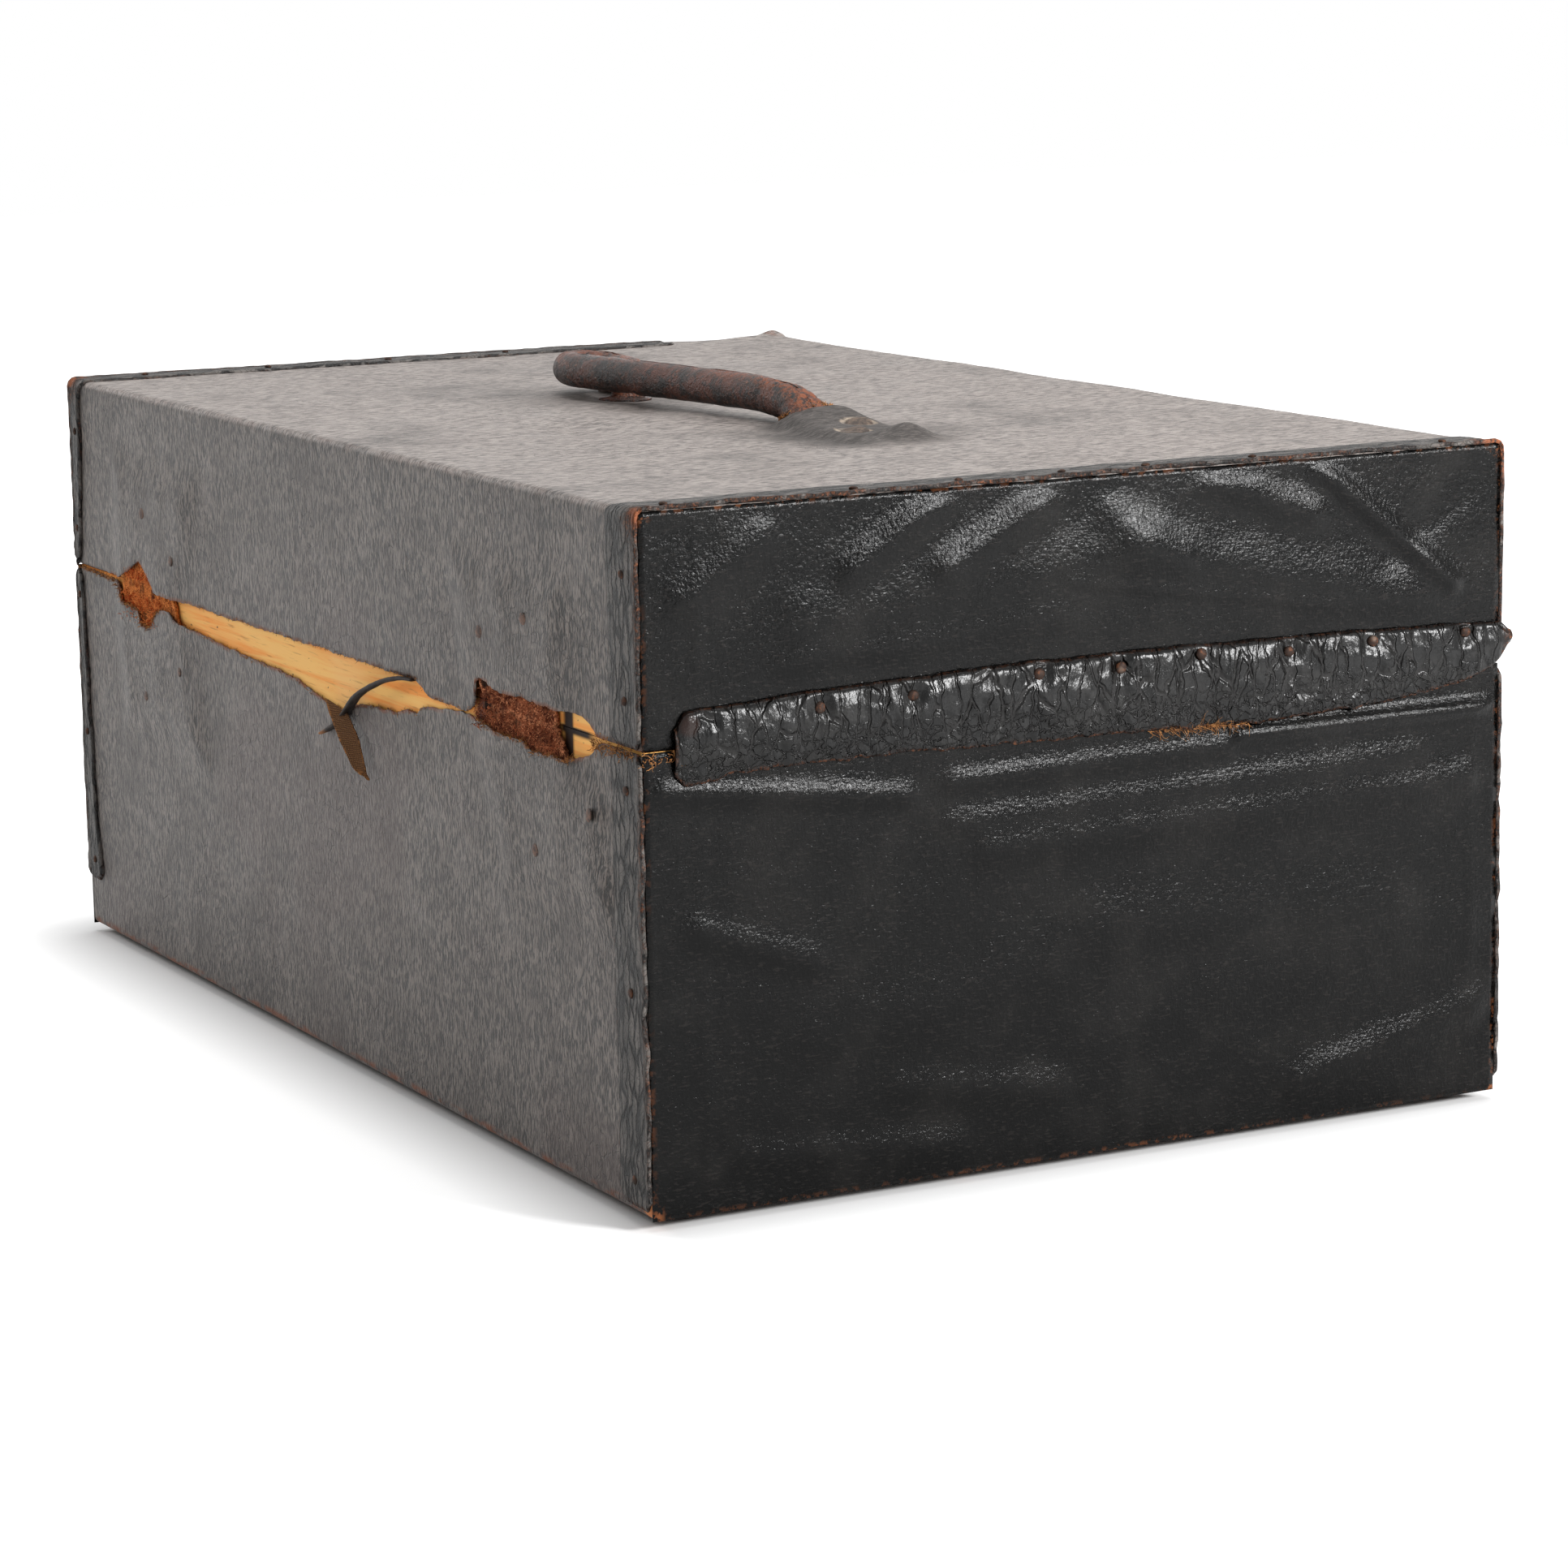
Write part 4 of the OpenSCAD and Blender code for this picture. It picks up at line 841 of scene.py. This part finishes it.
# The raised grain of the leather is painted lighter: a painted highlight.
worked = handle_leather.over(paint(28, 17, 13), (paint(88, 48, 35), darkening.past(0.38, 0.62)),
                             (paint(150, 98, 74), skin_and_glints.past(0.54, 0.68) * 0.6),
                             (paint(14, 10, 9), scabs.past(0.5, 0.6) * 0.9), (paint(146, 84, 54), bright))
handle_leather.dress(worked, 0.18 + polish * 0.26 + skin_and_glints * 0.14 + bright * 0.35,
                     skin_and_glints * 0.6 + scabs * 0.4, 1.7)

# The lines of the near leg, of the grip and of the leg that doubles back: (X, Y, Z, half
# width, half height), where the last two are the roll's own if they aren't given
roll = 7.6
near_leg = [(-112, 2, 263.4, 13.4, 1.5), (-104, 2.2, 263.8, 13.2, 1.8), (-97, 2.6, 265.6, 12.4, 3.8),
            (-89, 3.6, 269.6, 10.8, 6), (-81, 4.5, 273.2, 8.8, 7.4), (-74, 5, 274.6, 7.8, roll),
            (-68, 5.2, 274.8, roll, roll)]
grip_line = [(-60, 5.5, 275.5), (-50, 7, 276.4), (-25, 10, 276.6), (5, 14, 276.6), (40, 20.5, 276.8),
             (68, 25.5, 276.9), (86, 27.5, 276.9), (99, 24.5, 276.7), (103.5, 16, 276.3), (98, 8, 275.6),
             (93, 6.2, 275.3)]
return_line = [(93, 6.2, 275.3), (89, 5.4, 275), (82, 5.1, 274.8), (75, 5.4, 274.2), (70, 7.2, 272.2),
               (67.6, 10.6, 269, 6.9, 6.9), (67, 12.8, 265, 6.6, 6.6), (67, 13, 260.8, 6.6, 6.6)]


def routed(points, step=0.9):
    """Evenly spaced rings on a smooth line through points, each with its half width and height."""
    points = [point if len(point) == 5 else point + (roll, roll) for point in points]
    rings, ends = [], [points[0]] + points + [points[-1]]
    for before, start, end, after in zip(ends, ends[1:], ends[2:], ends[3:]):
        pieces = max(int(math.dist(start[:3], end[:3]) / step), 1)
        for piece in range(pieces):
            t = piece / pieces
            rings.append([0.5 * (2 * b + (c - a) * t + (2 * a - 5 * b + 4 * c - d) * t * t
                                 + (3 * b - a - 3 * c + d) * t ** 3)
                          for a, b, c, d in zip(before, start, end, after)])
    return rings + [list(points[-1])]


def rolled(name, line, around, surface, finish, body, replaced=()):
    """A closed tube on a line of rings. surface(ring number, way round from the top, ring)
    gives what adds to its radius, and its wear."""
    centres = [Vector(ring[:3]) for ring in line]
    tops, top = [], Vector((0, 0, 1))
    for number in range(len(centres)):
        ahead = (centres[min(number + 1, len(centres) - 1)] - centres[max(number - 1, 0)]).normalized()
        top = (top - ahead * top.dot(ahead)).normalized()
        tops.append((top, ahead.cross(top)))

    def place_skin(u, v):
        number = round(v * (len(line) - 1))
        turn = u * 2 * math.pi
        up, across = tops[number]
        extra, worn = surface(number, turn, line[number])
        x, y, z = centres[number] + up * math.cos(turn) * (line[number][4] + extra) \
            + across * math.sin(turn) * (line[number][3] + extra)
        return x, y, z, worn

    shape = spread(around, len(line) - 1, place_skin)
    bmesh.ops.remove_doubles(shape, verts=shape.verts, dist=0.00002)
    bmesh.ops.holes_fill(shape, edges=[edge for edge in shape.edges if edge.is_boundary], sides=0)
    bmesh.ops.recalc_face_normals(shape, faces=shape.faces)
    return finished(name, shape, finish, body, replaced)


def stitched(number, turn):
    """The seam of the roll, most of a radian off its top: a low welt, a stitch every 2.2 mm."""
    off = abs((turn - 0.95 + math.pi) % (2 * math.pi) - math.pi)
    return (1 - soft(0.16, 0.42, off)) * (0.5 - 0.55 * abs(math.sin(number * 0.9 / 2.2 * math.pi)))


def grip_surface(number, turn, ring):
    x, y = ring[0], ring[1]
    top = math.cos(turn)
    extra = 0.14 * lumps(x, y + turn * 6, 0, 5, 41) + 0.22 * lumps(x, turn * 4, 0, 14, 42)
    at_leg = soft(-112, -98, x) * (1 - soft(-66, -48, x))
    extra -= 0.5 * at_leg * (1 - soft(0, 0.22, abs(lumps(x * 1.7, turn * 3, 0, 5.5, 43))))
    at_bend = soft(84, 96, x)
    extra -= 0.35 * at_bend * (1 - soft(0, 0.25, abs(lumps(number * 0.9, turn * 2, 0, 4, 44))))
    extra -= 0.5 * soft(36, 37.5, x + 0.8 * lumps(0, turn * 3, 0, 2)) * (1 - soft(38, 60, x))
    extra += stitched(number, turn) if x > -60 else 0
    worn = max(0.75 * soft(0.35, 0.95, top) * soft(-100, -90, x) * (1 - soft(-66, -40, x)),
               0.4 * soft(0.5, 0.95, top) * soft(-70, -50, x) * (1 - soft(-30, 10, x)),
               0.3 * at_bend * soft(0.2, 0.8, top), 0.3 * (1 - soft(0, 2, abs(x - 38))))
    return extra, worn


def return_surface(number, turn, ring):
    extra = 0.14 * lumps(ring[0], ring[1] + turn * 6, ring[2], 5, 45) + stitched(number, turn)
    return extra, 0.4 * soft(0.2, 0.9, math.cos(turn))


made = rolled("handle_grip", routed(near_leg + grip_line), 44, grip_surface, handle_leather,
              None, ["handle_leather", "near_handle_tab"])
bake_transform(made)
made = rolled("handle_return_leg", routed(return_line), 44, return_surface, handle_leather,
              None, ["far_handle_tab"])
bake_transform(made)

# The collar of leather round the far leg, the rope core, the rivets and their roves. The
# rivets are flat-headed iron, sunk in the covering, with brass roves under the top. The
# near ones have wider caps of their own, tilted as the cloth lies.


def place_collar(u, v):
    turn = u * 2 * math.pi
    reach = 5.4 + (6.4 + 0.6 * lumps(math.cos(turn) * 8, math.sin(turn) * 8, 0, 5, 51)) * v
    x, y = 67 + reach * math.cos(turn), 13 + reach * math.sin(turn)
    return x, y, 266.1 - 0.7 * v + 0.3 * lumps(x, y, 0, 5, 52) + 0.8 * (1 - soft(0, 0.35, v)), \
        0.8 * soft(0.8, 1, v) * soft(0.6, 0.9, math.cos(turn - 0.5))


shape = spread(48, 8, place_collar, (67, 13, 200))
bmesh.ops.remove_doubles(shape, verts=shape.verts, dist=0.00002)
thicken(finished("far_leg_collar", shape, handle_leather, "lid",
                 ["far_handle_collar"]), 0.9)
rope = Finish("jute rope", Specular_IOR_Level=0.15)
lay = rope.node("TexWave", {"bands_direction": "DIAGONAL"},
                {"Vector": rope.place, "Scale": 90, "Distortion": 2})
rope.dress(rope.over(paint(112, 86, 52), (paint(190, 158, 108), lay * rope.cloud(1, 3).past(0.3, 0.6))),
           0.85 + lay * 0.1, lay, 0.6)
coat(rope, "handle_core")
rivet_iron = Finish("sunk rivet", Metallic=0.35, Specular_IOR_Level=0.4)
pitted = rivet_iron.cloud(2.2, 3, 0.65)
rivet_iron.dress(rivet_iron.over(paint(52, 42, 36), (paint(104, 88, 76), pitted.past(0.35, 0.7))),
                 0.5 + pitted * 0.25, pitted, 0.25)
coat(rivet_iron, "handle_rivets")
driven("near_rivet_caps", [((-116, -5, 267.9), (-0.3, 0.14, 1), 12.6, 1),
                           ((-137, 9, 267.2), (-0.24, 0.24, 1), 12.6, 1)], "lid", [], rivet_iron)
brass = Finish("dull brass", Metallic=0.9)
tarnish = brass.cloud(3, 4, 0.6)
brass.dress(brass.over(paint(146, 112, 58), (paint(84, 62, 38), tarnish.past(0.45, 0.7))),
            0.35 + tarnish * 0.3, tarnish, 0.1)
coat(brass, "handle_rivet_roves")

# Swing hooks, their pivots and the studs that they catch: browned steel, turned and filed,
# with bright brushed streaks all over.
steel = Finish("browned steel", Metallic=0.85)
brushed = steel.cloud(0.7, 2, 0.5, (9, 1, 1))
browned = steel.cloud(6, 3, 0.6)
steel.dress(steel.over(paint(74, 58, 48), (paint(116, 92, 74), browned.past(0.4, 0.7)),
                       (paint(150, 140, 130), brushed.past(0.6, 0.8) * 0.5)),
            0.32 + browned * 0.3, brushed, 0.08)
coat(steel, "left_hook", "right_hook", "hook_pivots", "catch_studs")

# Torn pieces in the tear: a strip of the cloth's woven backing that hangs down, brown and
# frayed at its tip, and a dark shred of welt that stands off in an arc.
backing = Finish("woven backing", Specular_IOR_Level=0.15)
warp, weft = (backing.node("TexWave", {"bands_direction": way},
                           {"Vector": backing.wander(0.4, 2), "Scale": 420, "Distortion": 0.5})
              for way in ("X", "Z"))
tape = backing.over(paint(84, 56, 36), (paint(158, 114, 74), warp * weft),
                    (paint(176, 118, 68), backing.worn() * backing.cloud(2, 3).past(0.4, 0.6)))
backing.dress(tape, 0.85 + warp * 0.1, warp + weft, 0.25)

# The strip's two edges, from its root to its tip: how far down, and (X, Y, Z)
tape_near_edge = [(0, (-33, 190.6, 154.4)), (0.2, (-38, 190.8, 151)), (0.5, (-45.9, 191.2, 145.5)),
                  (0.9, (-52.9, 191.4, 132.5)), (1, (-57, 192, 130.4))]
tape_far_edge = [(0, (-11, 191.4, 158)), (0.2, (-22, 194, 153)), (0.5, (-36.6, 196, 144.5)),
                 (0.9, (-45.4, 194, 133.7)), (1, (-55, 192.4, 130.9))]


def place_tape(u, v):
    edges = [[along([(at, point[part]) for at, point in table], v) for part in range(3)]
             for table in (tape_near_edge, tape_far_edge)]
    x, y, z = [near + (far - near) * u for near, far in zip(*edges)]
    torn_tip = 1.5 * lumps(u * 9, 0, 0, 2, 62) if v > 0.96 else 0
    return x + 0.4 * lumps(0, u * 6, v * 60, 6, 61), y + 0.5 * (2 * u - 1) ** 2, z + torn_tip, \
        max(soft(0.8, 1, abs(2 * u - 1)), soft(0.85, 1, v))


thicken(finished("hanging_tape", spread(10, 46, place_tape, (-20, 150, 145)), backing,
                 "base", ["torn_tape"]), 0.5)
welt = Finish("shred of welt", Specular_IOR_Level=0.2)
creased = welt.cloud(2.2, 3, 0.6, (3, 1, 3))
welt.dress(welt.over(paint(24, 19, 17), (paint(54, 44, 39), creased.past(0.4, 0.7)),
                     (paint(150, 100, 60), welt.worn() * creased.past(0.35, 0.55))),
           0.5 + creased * 0.2, creased, 0.3)
shred = [(-97, 188.4, 176.6, 1.6, 0.5), (-88, 189.6, 176.3, 1.9, 0.8), (-76, 191.2, 174, 2.1, 1),
         (-63, 192.4, 169.8, 2.1, 1.1), (-52, 192.6, 165.6, 2.4, 1.1), (-42, 191.8, 161, 2.4, 1.1),
         (-31, 190.4, 154.8, 2.4, 1.1), (-20, 189.4, 149, 2.3, 1), (-10, 189.8, 144.6, 2, 0.9),
         (-2, 190.6, 141.6, 1.3, 0.6)]


def shred_surface(number, turn, ring):
    return 0.2 * lumps(ring[0], turn * 2, ring[2], 4, 63), soft(-10, -3, ring[0])


rolled("welt_shred", routed(shred, 1), 12, shred_surface, welt, "base", ["torn_welt"])

# Frayed threads: the cloth's cotton backing and the fibres of the straps and bindings,
# loose along the tear, at the seam's near corner, under the near flap and on the handle.
thread = Finish("frayed cotton", Specular_IOR_Level=0.1)
twisted = thread.cloud(1.5, 2)
thread.dress(thread.over(paint(100, 62, 36), (paint(186, 132, 82), twisted.past(0.35, 0.65))),
             0.85 + twisted * 0.1)
red_fibre = Finish("red leather fibre", Specular_IOR_Level=0.1)
twisted = red_fibre.cloud(3, 2)
strands = twisted.past(0.35, 0.65)
far_strands = red_fibre.over(paint(176, 74, 32), (paint(240, 150, 84), strands))
red_fibre.dress(red_fibre.over(paint(98, 50, 34), (paint(180, 108, 74), strands),
                               (far_strands, red_fibre.axis("X").past(0, 40))), 0.85 + twisted * 0.1)


def frayed_out(name, finish, body, count, root, seed, length, thick):
    """Loose fibres. root(chance) gives each one's start and its way out, in millimetres."""
    chance = random.Random(seed)
    curve = bpy.data.curves.new(name, "CURVE")
    curve.dimensions, curve.bevel_depth, curve.bevel_resolution = "3D", thick / 2000, 0
    curve.use_fill_caps = True
    for _ in range(count):
        at, way = root(chance)
        at, way = Vector(at), Vector(way).normalized()
        points, reach = [at.copy()], length * chance.uniform(0.35, 1)
        for _ in range(4):
            way = (way + 0.55 * Vector([chance.gauss(0, 1) for _ in range(3)])).normalized()
            at = at + way * reach / 4
            points.append(at.copy())
        spline = curve.splines.new("POLY")
        spline.points.add(4)
        for number, (held, point) in enumerate(zip(spline.points, points)):
            held.co = (*(point / 1000), 1)
            held.radius = chance.uniform(0.7, 1.2) * (1 - number * 0.18)
    drawn = bpy.data.objects.new(name + "_curve", curve)
    bpy.context.scene.collection.objects.link(drawn)
    shape = bmesh.new()
    shape.from_mesh(bpy.data.meshes.new_from_object(drawn))
    bpy.data.objects.remove(drawn)
    finished(name, shape, finish, body)


def edge_root(table, low, high, y, up, kind=4):
    """Roots along a torn edge of the hinge side, between two places along it."""
    def root(chance):
        x = chance.uniform(low, high)
        at = (x, y + chance.uniform(-0.3, 0.5),
              along(table, x) + frayed(x, kind) - up * chance.uniform(0, 1))
        return at, (chance.gauss(0, 0.8), chance.uniform(0, 0.5), up * chance.uniform(0.1, 1))
    return root


def patch_root(low, high, foot, head):
    """Roots all over a patch of bare strap leather."""
    def root(chance):
        return (chance.uniform(low, high), 190 + chance.uniform(-0.4, 0.8), chance.uniform(foot, head)), \
            (chance.gauss(0, 1), chance.uniform(0.1, 0.9), chance.gauss(0, 1))
    return root


def corner_root(chance):
    """Roots at the seam's near corner, more of them on the hinge side than on the end."""
    if chance.random() < 0.6:
        return (chance.uniform(-300, -264), 189 + chance.uniform(-0.5, 0.6), 176 + chance.gauss(0, 1.4)), \
            (chance.gauss(0, 1), 0.4, chance.gauss(0, 0.7))
    return (-305.6, chance.uniform(160, 189), 176 + chance.gauss(0, 1.2)), \
        (-0.4, chance.gauss(0, 1), chance.gauss(0, 0.5))


def flap_root(chance):
    """Roots along a short stretch of the near flap's foot."""
    y = chance.uniform(-70, -24)
    return (-306.4, y, along(flap_foot, y) + chance.uniform(-0.5, 1)), (-0.3, -0.8, -0.35)


def collar_root(chance):
    """Roots round the lip of the cuff, where the near leg comes out."""
    turn = chance.uniform(-1.9, 1.9)
    x, y = -86 - 5 * math.cos(turn) + chance.gauss(0, 0.5), 3.8 + 11.5 * math.sin(turn)
    return (x, y, 265 + top_swell(x, y)), (0.4 + chance.gauss(0, 0.6), chance.gauss(0, 0.7), 0.8)


for seed, (name, finish, body, count, root, length, thick) in enumerate((
        ("torn_edge_threads", thread, "base", 420, edge_root(torn_edge, -110, 178, 187.9, 1), 2.2, 0.3),
        ("far_seam_threads", thread, "base", 210, edge_root(torn_edge, 240, 304, 188.2, 1), 3.4, 0.28),
        ("far_patch_threads", thread, "base", 240, edge_root(torn_edge, 186, 246, 190.8, -1), 3.2, 0.36),
        ("near_patch_threads", thread, "base", 420, edge_root(torn_edge, -252, -164, 190.8, 1), 2.6, 0.36),
        ("hem_threads", thread, "lid", 300, edge_root(hem_edge, -160, 240, 188, -1, 8), 1.8, 0.26),
        ("far_patch_fibres", red_fibre, "base", 620, patch_root(188, 240, 160, 174), 2.2, 0.5),
        ("far_patch_fibres_up", red_fibre, "lid", 260, patch_root(200, 234, 180.4, 185), 2, 0.5),
        ("near_patch_fibres", red_fibre, "base", 800, patch_root(-238, -162, 167, 177), 3, 0.44),
        ("near_patch_fibres_up", red_fibre, "lid", 460, patch_root(-234, -168, 178.6, 184.6), 2.4, 0.44),
        ("seam_corner_shreds", thread, "base", 240, corner_root, 3.6, 0.4),
        ("flap_foot_threads", thread, "lid", 150, flap_root, 7, 0.26),
        ("leg_collar_threads", thread, "lid", 300, collar_root, 3, 0.4)), start=1):
    frayed_out(name, finish, body, count, root, seed, length, thick)

# The room: a plain white floor that glows for the camera and in reflections, its glow halved
# near the case and gone at its foot, a painted shadow round it; a broad light overhead, a key
# from the hinge side and a strong narrow one on the near end, with the camera where the
# photographer stood.


def seen_or_mirrored(nodes):
    """1 where a ray comes from the camera, a reflection or glass, which all see the white room."""
    seen, mirrored, through = (nodes.node("LightPath", out=ray) for ray in (
        "Is Camera Ray", "Is Glossy Ray", "Is Transmission Ray"))
    return seen.most(mirrored).most(through)


def ramp(nodes, value, low, high, start, end):
    """A straight change from start, where value is low, to end, where it is high."""
    return nodes.node("MapRange", {}, {"Value": value, "From Min": low, "From Max": high,
                                       "To Min": start, "To Max": end})


world = bpy.data.worlds.new("white room")
bpy.context.scene.world = world
world.use_nodes = True
room = Nodes(world.node_tree)
backdrop = room.tree.nodes["Background"]
backdrop.inputs["Color"].default_value = (1, 1, 1, 1)
room.feed(ramp(room, seen_or_mirrored(room), 0, 1, 0.3, 1), backdrop, "Strength")

sweep = Finish("white sweep", Base_Color=(0.9, 0.9, 0.9, 1), Roughness=0.9, Specular_IOR_Level=0,
               Emission_Color=(1, 1, 1, 1))
# Painted shadow: the glow is halved within 0.4 m of the case's middle and falls to nothing at the edge of its
# footprint.
off_foot = sweep.place
for operation, value in (("ABSOLUTE", (0, 0, 0)), ("SUBTRACT", (0.3, 0.18, 0)), ("MAXIMUM", (0, 0, 0))):
    off_foot = sweep.node("VectorMath", {"operation": operation}, {0: off_foot, 1: value})
glow_and_painted_shadow = seen_or_mirrored(sweep)
for away, near, far, least in ((sweep.place, 0.4, 1.6, 0.5), (off_foot, 0, 0.05, 0)):
    distance = sweep.node("VectorMath", {"operation": "LENGTH"}, {0: away}, "Value")
    glow_and_painted_shadow = glow_and_painted_shadow * ramp(sweep, distance, near, far, least, 1)
sweep.feed(glow_and_painted_shadow, sweep.shader, "Emission Strength")
shape = bmesh.new()
bmesh.ops.create_grid(shape, x_segments=1, y_segments=1, size=6)
data = bpy.data.meshes.new("floor")
shape.to_mesh(data)
shape.free()
data.materials.append(sweep.material)
floor = bpy.data.objects.new("floor", data)
bpy.context.scene.collection.objects.link(floor)


def softbox(name, at, aim, width, height, strength):
    """A soft light at a place, turned to what it lights."""
    lamp = bpy.data.lights.new(name, "AREA")
    lamp.shape, lamp.size, lamp.size_y, lamp.energy = "RECTANGLE", width, height, strength
    held = bpy.data.objects.new(name, lamp)
    bpy.context.scene.collection.objects.link(held)
    held.location = at
    held.rotation_euler = (Vector(aim) - Vector(at)).to_track_quat("-Z", "Y").to_euler()


softbox("overhead light", (0.1, -0.15, 1.8), (0, 0, 0.2), 1.5, 1.2, 20)
softbox("key light", (1.8, 1.3, 1.2), (0, 0.18, 0.14), 0.6, 0.6, 13)
softbox("end light", (-1.9, -1.0, 0.84), (-0.3, 0, 0.14), 0.6, 0.36, 60)

lens = bpy.data.cameras.new("camera")
lens.lens, lens.sensor_width, lens.clip_start, lens.clip_end = 105.62, 36, 0.05, 30
camera = bpy.data.objects.new("camera", lens)
bpy.context.scene.collection.objects.link(camera)
camera.matrix_world = (Matrix.Translation((-1.7686, 0.8952, 0.4674))
                       @ Matrix.Rotation(math.radians(-117.566), 4, "Z")
                       @ Matrix.Rotation(math.radians(79.496), 4, "X")
                       @ Matrix.Rotation(math.radians(-0.984), 4, "Z"))
bpy.context.scene.camera = camera
bpy.context.scene.view_settings.view_transform = "Standard"
